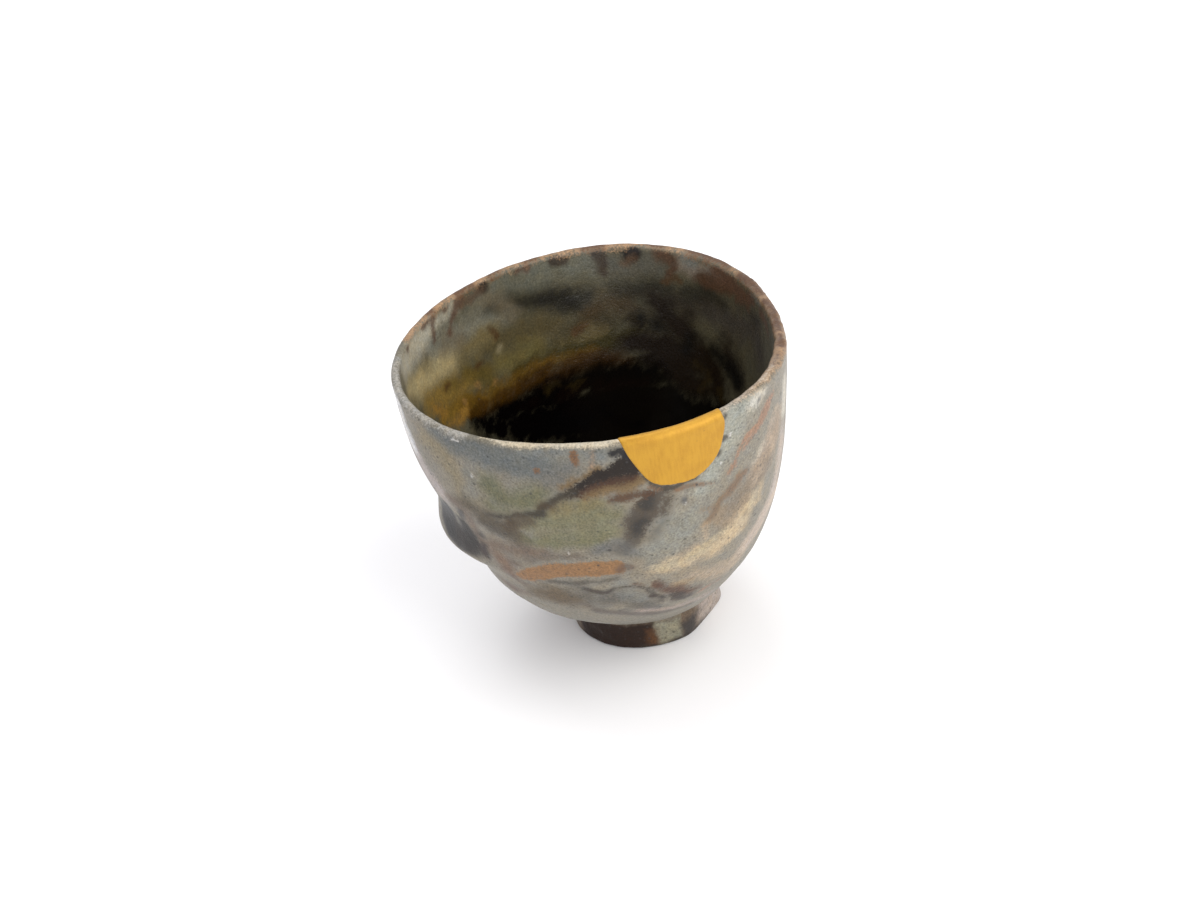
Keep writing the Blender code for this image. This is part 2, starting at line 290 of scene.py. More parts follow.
class Bench:
    """Blender's modelling tools, used one after another on a single piece."""

    @staticmethod
    def clear() -> None:
        """Leave edit mode and deselect everything."""
        if bpy.context.mode != "OBJECT":
            bpy.ops.object.mode_set(mode="OBJECT")
        bpy.ops.object.select_all(action="DESELECT")

    @staticmethod
    def pick(piece: bpy.types.Object) -> None:
        """Select one piece alone and make it active."""
        Bench.clear()
        piece.select_set(True)
        bpy.context.view_layer.objects.active = piece

    @staticmethod
    def apply_place(piece: bpy.types.Object) -> None:
        """Put a piece's place into its mesh, so that its object sits at the origin."""
        Bench.pick(piece)
        bpy.ops.object.transform_apply(location=True, rotation=True, scale=True)

    @staticmethod
    def drawn_line(name: str, points: np.ndarray) -> bpy.types.Object:
        """Draw an open line in the XZ plane by extruding a single vertex along it.

        Args:
            name: the new object's name.
            points: radius and height of each point.

        Returns:
            The object that holds the line.
        """
        Bench.clear()
        start = (float(points[0][0]), 0.0, float(points[0][1]))
        bpy.ops.mesh.primitive_plane_add(size=MM, location=start)
        line = bpy.context.object
        line.name = name
        bpy.ops.object.mode_set(mode="EDIT")
        bpy.ops.mesh.select_all(action="SELECT")
        bpy.ops.mesh.merge(type="CENTER")
        for before, after in zip(points[:-1], points[1:]):
            step = (float(after[0] - before[0]), 0.0, float(after[1] - before[1]))
            bpy.ops.mesh.extrude_vertices_move(TRANSFORM_OT_translate={"value": step})
        bpy.ops.object.mode_set(mode="OBJECT")
        Bench.apply_place(line)
        return line

    @staticmethod
    def turn(piece: bpy.types.Object, steps: int) -> None:
        """Spin a drawn line once round the Z axis and close its poles."""
        Bench.pick(piece)
        bpy.ops.object.mode_set(mode="EDIT")
        bpy.ops.mesh.select_all(action="SELECT")
        bpy.ops.mesh.spin(steps=steps, angle=2 * math.pi, center=(0, 0, 0), axis=(0, 0, 1))
        bpy.ops.mesh.select_all(action="SELECT")
        bpy.ops.mesh.remove_doubles(threshold=0.004 * MM)
        bpy.ops.mesh.normals_make_consistent(inside=False)
        bpy.ops.object.mode_set(mode="OBJECT")

    @staticmethod
    def corners(piece: bpy.types.Object) -> np.ndarray:
        """Return a piece's corner points, one row for each."""
        values = np.empty(len(piece.data.vertices) * 3)
        piece.data.vertices.foreach_get("co", values)
        return values.reshape(-1, 3)

    @staticmethod
    def move_corners(piece: bpy.types.Object, points: np.ndarray) -> None:
        """Move every corner of a piece to a new place."""
        piece.data.vertices.foreach_set("co", np.ascontiguousarray(points, dtype=float).ravel())
        piece.data.update()

    @staticmethod
    def normals(piece: bpy.types.Object) -> np.ndarray:
        """Return the outward direction at every corner of a piece."""
        values = np.empty(len(piece.data.vertices) * 3)
        piece.data.vertex_normals.foreach_get("vector", values)
        return values.reshape(-1, 3)

    @staticmethod
    def write_mask(piece: bpy.types.Object, name: str, values: np.ndarray) -> None:
        """Store one value for each corner under a name that a finish can read."""
        layer = piece.data.attributes.new(name, "FLOAT", "POINT")
        layer.data.foreach_set("value", np.ascontiguousarray(values, dtype=np.float32))


def ripple(points: np.ndarray, size: float, octaves: int, seed: float) -> np.ndarray:
    """Return smooth noise between about -1 and 1 at points in space.

    Args:
        points: rows of x, y and z.
        size: the width of the largest swell.
        octaves: how many finer swells lie on it.
        seed: shifts the pattern.

    Returns:
        One value for each point.
    """
    shift = Vector((seed, 2.3 * seed, -1.7 * seed))
    return np.array([
        noise.fractal(Vector(point) / size + shift, 1.0, 2.0, octaves, noise_basis="PERLIN_ORIGINAL")
        for point in points
    ])


# Marks on the clay, with their depths and margins in millimetres

SAMPLES_PER_GAP = 10
SEARCH_MARGIN = 14.0
FAR_OUTSIDE = -99.0
DEEPEST = 12.0
BRIGHTEST = 0.95


@dataclass(frozen=True)
class Trail:
    """A run of colour along the wall.

    The stops are a flat run of threes: azimuth in degrees, then the height on the turned form and
    the half width, in millimetres.
    """

    stops: tuple
    side: Side

    def samples(self) -> np.ndarray:
        """Return closely spaced azimuths, heights and half widths along the trail."""
        stops = np.asarray(self.stops, dtype=float).reshape(-1, 3)
        count = len(stops)
        if count == 1:
            return stops
        position = np.linspace(0, count - 1, SAMPLES_PER_GAP * (count - 1) + 1)
        station = tuple(range(count))
        return np.stack([
            smooth_curve(station, tuple(stops[:, 0]), position),
            smooth_curve(station, tuple(stops[:, 1]), position),
            np.interp(position, station, stops[:, 2]),
        ], axis=-1)

    def depth(self, points: np.ndarray) -> np.ndarray:
        """Return how deep in the trail each point lies, in millimetres, below zero outside it."""
        azimuth, height, widths = self.samples().T
        along = FORM.along_at_height(height * MM, self.side)
        path = FORM.wall_at(np.radians(azimuth), along)
        reach = (widths.max() + SEARCH_MARGIN) * MM
        near = np.all((points > path.min(axis=0) - reach) & (points < path.max(axis=0) + reach), axis=1)
        close = points[near]
        best = np.full(len(close), FAR_OUTSIDE)
        for place, width in zip(path, widths):
            distance = np.linalg.norm(close - place, axis=1) / MM
            best = np.maximum(best, width - distance)
        depth = np.full(len(points), FAR_OUTSIDE)
        depth[near] = best
        return depth


@dataclass(frozen=True)
class Band:
    """A stretch of the clay between two azimuths in degrees and two heights in millimetres."""

    start: float
    end: float
    bottom: float
    top: float

    def depth(self, points: np.ndarray) -> np.ndarray:
        """Return how deep in the band each point lies, in millimetres, below zero outside it."""
        centre = FORM.formed(*[np.array([value]) for value in (0.0, 0.0, 0.0, 0.0)])[0]
        azimuth = np.arctan2(points[:, 1] - centre[1], points[:, 0] - centre[0])
        middle = math.radians((self.start + self.end) / 2)
        half_turn = math.radians(self.end - self.start) / 2
        sideways = (half_turn - np.abs(turn_between(azimuth, middle))) * FORM.foot_radius / MM
        height = points[:, 2] / MM
        upright = np.minimum(height - self.bottom, self.top - height)
        return np.minimum(sideways, upright)


@dataclass(frozen=True)
class Mark:
    """One mark on the clay. Most are finishes that the kiln, the ash or the potter left; a few are
    painted light: painted sheen at the side edges, painted glints, and painted shade and shadow low on
    the belly, at the foot and under the gold.

    The colour is as it shows in soft daylight, in display values from 0 to 255. Softness and
    ragged are millimetres: how wide the edge fades, and how far the grain pushes it in and out.
    """

    name: str
    colour: tuple
    grain: Grain
    softness: float
    ragged: float
    strength: float
    side: Side
    runs: tuple

    def depth(self, points: np.ndarray, sides: np.ndarray) -> np.ndarray:
        """Return the mark's depth at points, kept on its own side of the wall."""
        deepest = np.max([run.depth(points) for run in self.runs], axis=0)
        own = sides if self.side is Side.INSIDE else 1.0 - sides
        own = np.ones_like(sides) if self.side is Side.LIP else own
        reach = self.softness + self.ragged + 1.0
        return np.clip(deepest, -reach, DEEPEST) * own - reach * (1.0 - own)


def marks_on(side: Side, rows: tuple) -> tuple:
    """Make the marks on one side of the wall.

    Args:
        side: the side of the wall.
        rows: each mark's name, colour, grain, softness, raggedness and strength, and then its
            runs, each a band or the flat stops of a trail.

    Returns:
        The marks, in the order of their rows.
    """
    return tuple(
        Mark(name, colour, grain, softness, ragged, strength, side,
             tuple(run if isinstance(run, Band) else Trail(run, side) for run in runs))
        for name, colour, grain, softness, ragged, strength, *runs in rows
    )


def daylight(colour: tuple, gain: float) -> tuple:
    """Turn a display colour into the linear colour of the surface that shows it.

    Args:
        colour: red, green and blue as displayed, 0 to 255.
        gain: how much lighter the surface is than it shows, because of the light that falls on it.

    Returns:
        Red, green, blue and alpha for a shader.
    """
    linear = [((part / 255 + 0.055) / 1.055) ** 2.4 * gain for part in colour]
    return (*[min(part, BRIGHTEST) for part in linear], 1.0)


COARSE, MIXED, FINE, STIPPLED, RUNNING = Grain

OUTSIDE_MARKS = marks_on(Side.OUTSIDE, (
    ("warm_back", (150, 132, 112), COARSE, 9, 3, 0.6,
     (20, 58, 9, 60, 50, 12, 100, 56, 10, 140, 48, 8)),
    ("green_back", (128, 126, 106), COARSE, 6, 3, 0.7,
     (30, 34, 6, 80, 30, 9, 130, 34, 6)),
    ("grey_back_rim", (122, 123, 120), COARSE, 3, 2, 0.8,
     (110, 62, 3, 150, 64, 5, 180, 63, 3)),
    ("brown_back_run", (108, 84, 62), MIXED, 1.6, 2.2, 0.7,
     (64, 64, 1.2, 70, 55, 2, 80, 44, 1.2, 84, 36, 0.5), (120, 60, 1, 112, 50, 1.6, 110, 40, 0.6)),
    ("cream_back_run", (190, 174, 146), MIXED, 2.6, 2, 0.6,
     (30, 50, 1.5, 50, 40, 3, 74, 32, 1.5)),
    ("olive_left", (146, 134, 106), COARSE, 3, 1.6, 0.95,
     (207.5, 62.5, 2.2, 214.5, 61.8, 3, 218, 58.1, 3, 220, 53.8, 2.6, 223.5, 51.7, 2)),
    # Painted sheen: a pale strip along the left edge, standing in for the grazing reflection of the
    # bright room.
    ("painted_sheen_left_edge", (188, 176, 172), COARSE, 2.2, 0.8, 0.9,
     (189.5, 57.9, 2, 197, 56.3, 2.6, 200, 52.9, 2.6, 204.5, 51, 2.4, 206.5, 48.7, 2)),
    ("light_left", (137, 134, 123), COARSE, 2.4, 1.2, 0.9,
     (223, 54, 2, 226.5, 57.2, 2.2, 229.5, 60, 2.2, 226, 61.6, 2)),
    ("green_shoulder", (111, 110, 82), COARSE, 2.6, 1.6, 0.95,
     (231.5, 57, 2.4, 234, 54.5, 2.6, 240.5, 54.7, 2.8, 247.5, 57.5, 1.8), (229.5, 52.2, 1.5,
     235, 52.4, 1.5)),
    ("blue_grey_rim", (105, 109, 107), MIXED, 2.2, 1.4, 0.95,
     (211.5, 66, 1, 219.5, 65, 2.2, 228.5, 65, 3.2, 236.5, 63.9, 3.6, 244, 63.2, 3.6, 251, 62.5, 2.8,
     256, 62, 1.6)),
    ("light_under_rim", (122, 124, 119), MIXED, 1.6, 1.4, 0.9,
     (244, 66, 1, 250.5, 66, 1.6, 258, 66, 2, 264, 65.3, 2, 267.5, 65.7, 1.6)),
    ("grey_mid", (115, 112, 104), MIXED, 2, 1.5, 0.9,
     (250.5, 59.5, 2, 254.5, 60.2, 2, 258.5, 62, 1.4)),
    ("green_belly", (123, 120, 92), COARSE, 2.8, 1.8, 0.95,
     (241.5, 48.3, 2, 249, 49.7, 3.2, 257, 50.8, 3.6, 264, 51.5, 3.4, 269, 51.9, 2), (246.5, 46.7, 2,
     257.5, 47.4, 3, 265.5, 48, 2.2)),
    ("green_bright", (125, 114, 78), MIXED, 1.8, 1.6, 0.8,
     (250.5, 53.1, 1.2, 254.5, 54.2, 1.6, 260.5, 54.2, 1.6, 264.5, 53.8, 1.2)),
    ("olive_belly_low", (114, 113, 83), MIXED, 1.6, 1.4, 0.85,
     (237, 44.4, 1.2, 246, 44.6, 1.4, 255.5, 44.8, 1.3, 263.5, 45.8, 1)),
    ("purple_under_tail", (62, 57, 51), MIXED, 1.6, 1.4, 0.9,
     (224, 46.7, 1.6, 228, 46, 2, 232.5, 45.8, 1.6, 236, 48.5, 1)),
    ("pink_grey_band", (115, 96, 79), COARSE, 2, 1.4, 0.9,
     (212.5, 49.2, 1.4, 216.5, 47.4, 1.6, 218.5, 40.2, 1.6, 227, 40.7, 2.2, 235, 40.5, 2.2,
     245, 42.1, 1.4)),
    ("grey_over_orange", (111, 101, 89), MIXED, 1, 1, 0.85,
     (236.5, 38.6, 0.8, 244.5, 40.7, 0.9, 251.5, 41.4, 0.9, 257, 41.4, 0.8)),
    ("grey_blue_low_mid", (109, 108, 104), MIXED, 1.4, 1.2, 0.9,
     (260.5, 42.5, 1, 265, 43.5, 1.6, 268.5, 43.7, 1.6, 272.5, 41.6, 1.8, 274.5, 39.6, 1.2)),
    ("low_left", (124, 98, 79), COARSE, 1.8, 1.2, 0.9,
     (224.5, 37.3, 1.6, 225.5, 34.5, 1.8, 226.5, 31.5, 1.6)),
    ("low_left_edge", (109, 84, 71), COARSE, 1.6, 1, 0.8,
     (212, 26.2, 0.8, 220, 25.6, 1.2, 227, 26, 1)),
    ("olive_low", (103, 89, 69), COARSE, 2.4, 1.6, 0.95,
     (230.5, 27.6, 1.4, 238.5, 28.5, 2.6, 245, 28.3, 3, 251, 27.6, 2.6)),
    ("grey_low", (104, 100, 92), COARSE, 2.2, 1.6, 0.95,
     (253.5, 32.7, 1.4, 257.5, 27.6, 2.4, 266.5, 28.1, 2.8, 273, 24.6, 2.6, 278, 21.4, 1.6)),
    ("light_low", (132, 132, 125), MIXED, 1.6, 1.4, 0.85,
     (267, 33.4, 1, 269.5, 29.2, 1.8, 273, 26.9, 1.6)),
    ("grey_front", (141, 140, 129), COARSE, 2.6, 1.6, 0.95,
     (-69.5, 46.9, 2.4, -72, 44.1, 3.2, -76.5, 42.8, 3.2, -80.5, 42.1, 2.6, -83.5, 40.9, 1.6),
     (-74, 48.5, 2, -77.5, 46.9, 2)),
    ("light_grey_right", (157, 158, 146), COARSE, 2.4, 1.4, 0.95,
     (-48.5, 66, 2.4, -54, 66, 3, -56.5, 63.2, 3, -58.5, 59.5, 2.4, -62, 56.5, 2.2, -65.5, 52.2, 1.6)),
    ("white_right", (203, 196, 181), MIXED, 1.6, 1.2, 0.85,
     (-44, 66, 1.2, -45, 66, 1.6, -49, 65, 1.2), (-25, 60.2, 2.2, -24, 55.9, 2.6, -29.5, 55.9, 1.2),
     (-41.5, 53.1, 1, -44.5, 51.9, 1.2)),
    ("pink_right", (158, 139, 117), COARSE, 2.6, 1.6, 0.95,
     (-33, 54.5, 3, -36, 52.2, 3.4, -39.5, 50.1, 3, -44, 48.7, 2.4)),
    ("grey_purple_right", (133, 119, 101), MIXED, 1.8, 1.6, 0.9,
     (-36.5, 48.3, 1.4, -42.5, 47.1, 2, -48.5, 46.2, 2.2, -52.5, 45.1, 2, -56.5, 43.7, 1.6)),
    ("tan_right", (147, 129, 105), COARSE, 2, 1.6, 0.9,
     (-61, 43.7, 1.2, -56.5, 40.5, 1.8, -52, 41.8, 1.8, -47.5, 43, 1.6)),
    ("cream_swath", (192, 172, 140), MIXED, 1.8, 1.6, 0.95,
     (-41, 43.2, 1.2, -46, 40.9, 2, -51, 38.4, 2.6, -56.5, 36.3, 2.8, -62.5, 35.7, 2.6, -69, 35.7, 2.2,
     -75.5, 35.2, 1.8, -81, 35.4, 1.2)),
    ("cream_bright", (184, 171, 142), MIXED, 1.2, 1.3, 0.8,
     (-57, 39.1, 0.8, -61.5, 37.9, 1.2, -65, 36.6, 1.4, -70, 36.6, 1), (-74, 36.1, 0.9, -78, 35.2, 1,
     -81, 36.6, 0.6), (-43, 42.1, 0.7, -47.5, 40, 0.9)),
    # Painted sheen: a pale band towards the right edge, standing in for the bright grazing light there.
    ("painted_sheen_right_edge", (206, 185, 164), COARSE, 2.4, 1.2, 0.9,
     (-20.5, 35.2, 2.6, -30, 34, 3, -36.5, 31.5, 3, -42, 29.5, 2.6, -46.5, 27.2, 2.2)),
    ("taupe_low_right", (173, 156, 134), COARSE, 2.2, 1.6, 0.95,
     (-47, 26.2, 1.8, -54.5, 26.2, 2.4, -62, 28.1, 2.4, -68.5, 29.9, 1.8)),
    ("taupe_mid_low", (148, 137, 118), MIXED, 1.8, 1.6, 0.85,
     (-65.5, 33.4, 1.2, -69, 32, 1.4, -74, 31.7, 1.2), (-85.5, 36.1, 1.2, -86.5, 38.6, 1.2,
     -84, 34, 1.2)),
    ("cream_low", (160, 138, 106), MIXED, 1.2, 1.4, 0.75,
     (-75, 29.2, 0.9, -71.5, 28.8, 1, -68.5, 28.5, 0.8)),
    ("brown_low", (96, 72, 58), MIXED, 1.2, 1.27, 1,
     (-81, 31.5, 0.96, -79, 29, 1.44, -74.5, 26.9, 1.68, -69.5, 24.4, 1.56, -65.5, 24.4, 0.96)),
    ("dark_low", (69, 61, 55), MIXED, 0.9, 1.02, 0.96,
     (-81.5, 26.7, 0.78, -79, 24.9, 1.04), (-75, 25.6, 1.04, -71, 22.8, 1.3, -66.5, 22.6, 0.78)),
    ("pink_ridge", (172, 156, 145), COARSE, 1.2, 0.9, 0.9,
     (-88, 21.4, 1, -79, 19.6, 1.2, -69, 18.7, 1.2, -59.5, 17.7, 1.2, -52.5, 16.6, 0.8)),
    ("rust_low_right", (158, 121, 103), MIXED, 0.7, 0.8, 0.75,
     (-63, 22.1, 0.4, -58.5, 22.6, 0.5, -53.5, 22.8, 0.4)),
    # Painted sheen: a pale strip at the very right edge.
    ("painted_sheen_far_right_edge", (188, 172, 158), COARSE, 2, 0.9, 0.9,
     (-26, 50.1, 2, -25.5, 45.8, 2.4, -26, 41.4, 2.4, -29, 37.7, 2.4, -33, 34.3, 2.4, -38, 30.6, 2.4)),
    # Painted sheen: a near-white strip at the very left edge, a painted reflection of the bright room.
    ("painted_sheen_far_left_edge", (249, 249, 249), COARSE, 1.6, 0.8, 0.9,
     (190, 66, 1.6, 192.5, 64.1, 2.2, 193, 60.2, 2.2, 196, 57, 2.2)),
    ("knuckle_shade", (52, 49, 47), COARSE, 1.8, 1.4, 0.95,
     (195.5, 41.4, 2, 197, 39.1, 3.2, 200, 37.5, 3.4, 206, 37, 3.2, 212, 36.6, 2.2)),
    ("left_of_belly", (86, 76, 59), COARSE, 2.4, 1.6, 0.9,
     (220, 49.9, 2, 226, 48.7, 2.6, 231, 47.1, 2.6, 235.5, 45.3, 2)),
    # Painted shade: a darker band on the belly's underside just above the foot.
    ("painted_shade_under_belly", (105, 96, 88), COARSE, 1.2, 0.9, 0.9,
     (252.5, 26, 0.8, 257.5, 23.7, 1.2, 264.5, 21.9, 1.4, 273.5, 19.1, 1.4, 284, 17.7, 1.2,
     294.5, 17.1, 0.8)),
    ("knuckle_brown", (52, 46, 42), MIXED, 1.4, 1.02, 0.96,
     (203.5, 39.3, 1.96, 207, 38.4, 2.52, 203.5, 35.9, 2.24, 209, 36.3, 2.24), (213.5, 38.9, 1.68,
     215.5, 37.3, 1.68)),
    ("knuckle_blue", (46, 44, 43), MIXED, 1.2, 0.77, 1,
     (203.5, 43.9, 2.52, 199.5, 40.5, 3.24, 200, 38.6, 2.88, 201, 37.5, 1.62)),
    ("knuckle_dark", (45, 41, 38), MIXED, 1.1, 0.85, 1,
     (211.5, 42.5, 1.7, 211.5, 40.2, 2.38, 212.5, 38.9, 1.7)),
    ("knuckle_spot", (61, 59, 57), MIXED, 0.7, 0.51, 0.86,
     (214.5, 46.7, 0.96, 213.5, 45.3, 0.96)),
    ("knuckle_grey", (67, 57, 54), MIXED, 1, 0.77, 0.91,
     (218, 38.4, 1.08, 217.5, 36.1, 1.32)),
    ("knuckle_red", (59, 51, 46), MIXED, 0.9, 0.77, 0.76,
     (216, 41.6, 0.6, 220, 41.8, 0.96), (204, 40.5, 0.6, 204.5, 38.2, 0.72)),
    ("dark_smudge", (83, 74, 63), STIPPLED, 1.1, 1.27, 0.98,
     (-77, 54.7, 1.15, -80.5, 53.1, 2.3, -83, 50.8, 2.88, -85.5, 48.5, 2.76, -87, 46, 2.18),
     (-78.5, 50.1, 1.03, -76.5, 52.4, 1.26)),
    ("smudge_tail", (92, 88, 81), STIPPLED, 1.2, 1.5, 0.7,
     (-86.5, 45.1, 1.2, -89, 43.7, 1.2, -91.5, 42.1, 1), (-77.5, 47.8, 0.6, -80, 46, 0.8,
     -82, 44.8, 0.6)),
    ("smudge_core", (49, 48, 46), STIPPLED, 0.9, 1.1, 0.81,
     (-81, 54.7, 1.04, -82.5, 52.4, 1.3), (-84.5, 48.7, 1.3, -86, 47.1, 1.17)),
    ("tan_streak", (121, 99, 66), MIXED, 1, 1.02, 0.96,
     (-84, 58.4, 1.2, -87, 57.9, 1.92, -91.5, 57.7, 1.92, -95.5, 57, 1.68, -99, 56.1, 1.2),
     (253.5, 57.7, 0.6, 257.5, 59.1, 0.84, 261.5, 60.4, 0.96, 265.5, 62, 0.96)),
    ("orange_under_streak", (82, 58, 40), STIPPLED, 0.7, 0.68, 0.91,
     (-80.5, 54.7, 0.65, -84, 55.2, 0.91, -88, 55.2, 0.91, -92, 54.9, 0.65)),
    ("brown_streak_edge", (68, 43, 27), STIPPLED, 0.9, 0.94, 0.96,
     (-85.5, 59.8, 1.32, -89, 59.3, 1.56, -93.5, 59.1, 1.56, -98.5, 57.7, 1.2, -103, 56.3, 0.96)),
    ("dark_streak", (34, 24, 16), STIPPLED, 0.7, 0.85, 1,
     (-85, 62, 2.29, -88, 61.6, 2.16, -91.5, 60.9, 1.62, -94.5, 60.4, 1.35, -98, 59.3, 1.08,
     -101, 58.1, 0.81, -104.5, 56.8, 0.41)),
    ("black_streak", (32, 23, 16), STIPPLED, 0.6, 0.77, 0.96,
     (-85.5, 63.2, 1.2, -88, 62.5, 1.35, -90, 61.4, 0.75), (265.5, 61.1, 0.9, 267, 59.8, 0.9),
     (260.5, 58.8, 0.6, 259, 57.9, 0.6)),
    ("streak_tail", (54, 47, 36), STIPPLED, 0.8, 0.68, 0.91,
     (256.5, 56.8, 1.04, 252.5, 55.6, 0.91, 248.5, 54.5, 1.04, 246.5, 52.4, 1.04, 242.5, 51.7, 0.78,
     237, 50.8, 0.65, 231.5, 49.9, 0.65, 227, 49.4, 0.39)),
    ("tail_brown", (81, 66, 46), MIXED, 1.2, 0.85, 0.76,
     (242.5, 50.1, 1.38, 237.5, 49.2, 1.61, 234, 47.1, 1.15), (247, 54.5, 0.69, 250.5, 54, 0.8)),
    ("corner_dark", (25, 24, 26), STIPPLED, 0.45, 0.42, 0.96,
     (269.5, 65, 0.94, 271.5, 65.3, 0.77, 273.5, 64.1, 0.85)),
    # Painted shadow: a thin dark line along the gold's lower edge, where the proud gold shades the clay.
    ("painted_shadow_under_gold", (68, 61, 50), STIPPLED, 0.4, 0.42, 0.91,
     (-84, 59.5, 0.21, -81.5, 57.9, 0.49, -79.5, 56.3, 0.7, -77, 55.4, 0.84, -74, 55.2, 0.7,
     -71, 55.4, 0.49, -67.5, 55.4, 0.28)),
    ("right_of_gold_dark", (71, 66, 57), STIPPLED, 0.4, 0.34, 0.86,
     (-59, 66, 0.66, -59.5, 65.7, 0.57), (-59.5, 61.1, 0.76, -58.5, 60.9, 0.57), (-61, 58.4, 0.76)),
    ("tan_line", (119, 92, 70), STIPPLED, 0.5, 0.42, 0.86,
     (-74, 54.2, 0.39, -70.5, 54, 0.59, -67, 53.6, 0.45, -62, 52.6, 0.33), (-78.5, 55.4, 0.52,
     -81, 56.5, 0.39)),
    ("orange_patch", (151, 111, 70), STIPPLED, 0.35, 0.45, 0.93,
     (230.5, 32, 0.9, 234.5, 33.6, 2, 239, 35, 2.2, 244.5, 36.8, 1.9, 249, 37.3, 1.9, 254, 37.5, 2,
     258, 37.7, 2.2, 262.5, 37.9, 2.15, 267, 37.9, 1.8)),
    ("orange_dim", (92, 66, 53), MIXED, 1, 1, 0.6,
     (224, 31.7, 0.6, 227, 30.1, 0.9, 230.5, 29.7, 0.7), (229.5, 36.8, 1, 231.5, 36.6, 0.9)),
    ("grey_under_orange", (82, 77, 70), MIXED, 0.7, 0.7, 0.8,
     (242, 32.9, 0.5, 247.5, 33.4, 0.7, 254, 33.4, 0.7, 261, 34, 0.6, 266.5, 35, 0.5)),
    ("orange_end", (100, 82, 71), STIPPLED, 0.6, 0.9, 0.8,
     (267.5, 37, 0.7, 269.5, 37.9, 0.8, 272, 37.7, 0.6), (-88, 32.2, 0.5, -86, 31.3, 0.4)),
    ("rust_spots", (119, 87, 60), STIPPLED, 0.35, 0.34, 0.91,
     (258.5, 66, 0.54, 258.5, 64.8, 0.72, 259, 63.4, 0.42), (247, 61.8, 0.6)),
    ("rust_spots_faint", (147, 122, 98), STIPPLED, 0.5, 0.5, 0.7,
     (264, 66, 0.45, 263.5, 63.9, 0.4, 262.5, 62.3, 0.35)),
    ("rust_vein", (156, 117, 92), STIPPLED, 0.5, 0.59, 0.74,
     (-37, 62.5, 0.47, -40, 61.6, 1.14, -42.5, 60.4, 1.42, -45, 59.1, 0.95, -48.5, 58.6, 0.76,
     -51.5, 57.9, 0.57, -53, 56.8, 0.47, -54, 55.4, 0.47, -55.5, 54, 0.76, -57, 53.1, 0.66),
     (-51, 56.5, 0.47, -48.5, 57.5, 0.47, -45.5, 58.4, 0.47)),
    ("rust_right", (181, 161, 137), MIXED, 1.2, 1.3, 0.6,
     (-34, 57.9, 1, -37, 57, 1.4, -38, 54.7, 1.2, -35.5, 50.6, 1), (-42.5, 48, 0.7, -44.5, 46.9, 0.7)),
    ("umber_vein", (123, 99, 78), STIPPLED, 0.9, 1.02, 0.86,
     (-50, 51, 0.69, -52.5, 50.1, 1.26, -54.5, 49, 1.49, -57, 47.8, 1.15), (-58.5, 47.8, 0.57,
     -60, 46.7, 0.57)),
    ("rust_smudges", (125, 105, 84), STIPPLED, 0.8, 1, 0.9,
     (-59, 47.8, 0.8, -61, 46.2, 1.3, -62.5, 44.6, 1.2, -64.5, 43.5, 0.7), (-66.5, 47.4, 0.25,
     -64, 46.9, 0.3), (-47.5, 40, 0.4)),
    ("rust_faint", (182, 160, 131), MIXED, 1, 1.2, 0.55,
     (-65, 43, 0.9, -64, 40.2, 0.8), (-68.5, 38.9, 0.7, -71.5, 38.2, 0.7)),
    ("brown_line_low", (69, 60, 53), STIPPLED, 0.45, 0.51, 0.91,
     (255.5, 31.3, 0.42, 258.5, 30.6, 0.84, 262, 30.4, 0.72, 266.5, 31.3, 0.42, 271, 31.3, 0.36,
     275.5, 30.1, 0.42, 277, 28.5, 0.72, 278.5, 26.2, 0.72)),
    ("blue_spot", (83, 85, 88), FINE, 0.5, 0.34, 0.86,
     (-71.5, 51.3, 0.66), (-45.5, 64.8, 0.42)),
    ("dark_dots", (62, 60, 52), FINE, 0.25, 0.25, 0.85,
     (254, 54.5, 0.28), (251, 50.6, 0.3, 251.5, 50.3, 0.2), (269, 53.8, 0.22), (269, 48.3, 0.25),
     (-87, 49, 0.22), (-81, 50.6, 0.25), (-78, 48.3, 0.25), (-78, 49, 0.2), (-82, 46.2, 0.3),
     (-75, 53.1, 0.22), (246.5, 50.8, 0.2, 248, 50.3, 0.2), (267.5, 62.5, 0.3), (269, 66, 0.2),
     (264.5, 66, 0.2), (257, 45.5, 0.2), (240.5, 44.6, 0.25), (245, 50.8, 0.25), (235, 53.6, 0.22),
     (265, 66, 0.25), (-76, 64.8, 0.01)),
    ("olive_dot", (72, 68, 54), FINE, 0.3, 0.3, 0.8,
     (-76.5, 47.4, 0.35)),
    # Painted glints: small near-white specks near the rim and on the belly.
    ("painted_glint_specks", (216, 214, 210), FINE, 0.25, 0.2, 0.85,
     (220, 66, 0.3, 222.5, 66, 0.25), (225.5, 58.1, 0.35), (226.5, 56.5, 0.2), (-57.5, 61.1, 0.45),
     (-59.5, 56.1, 0.3), (-71.5, 50.6, 0.25), (253, 42.1, 0.3)),
    # A grey halo round two of the painted glints.
    ("grey_halo_by_glints", (119, 120, 112), MIXED, 0.7, 0.6, 0.6,
     (223.5, 58.8, 0.5, 225.5, 56.8, 0.5)),
))

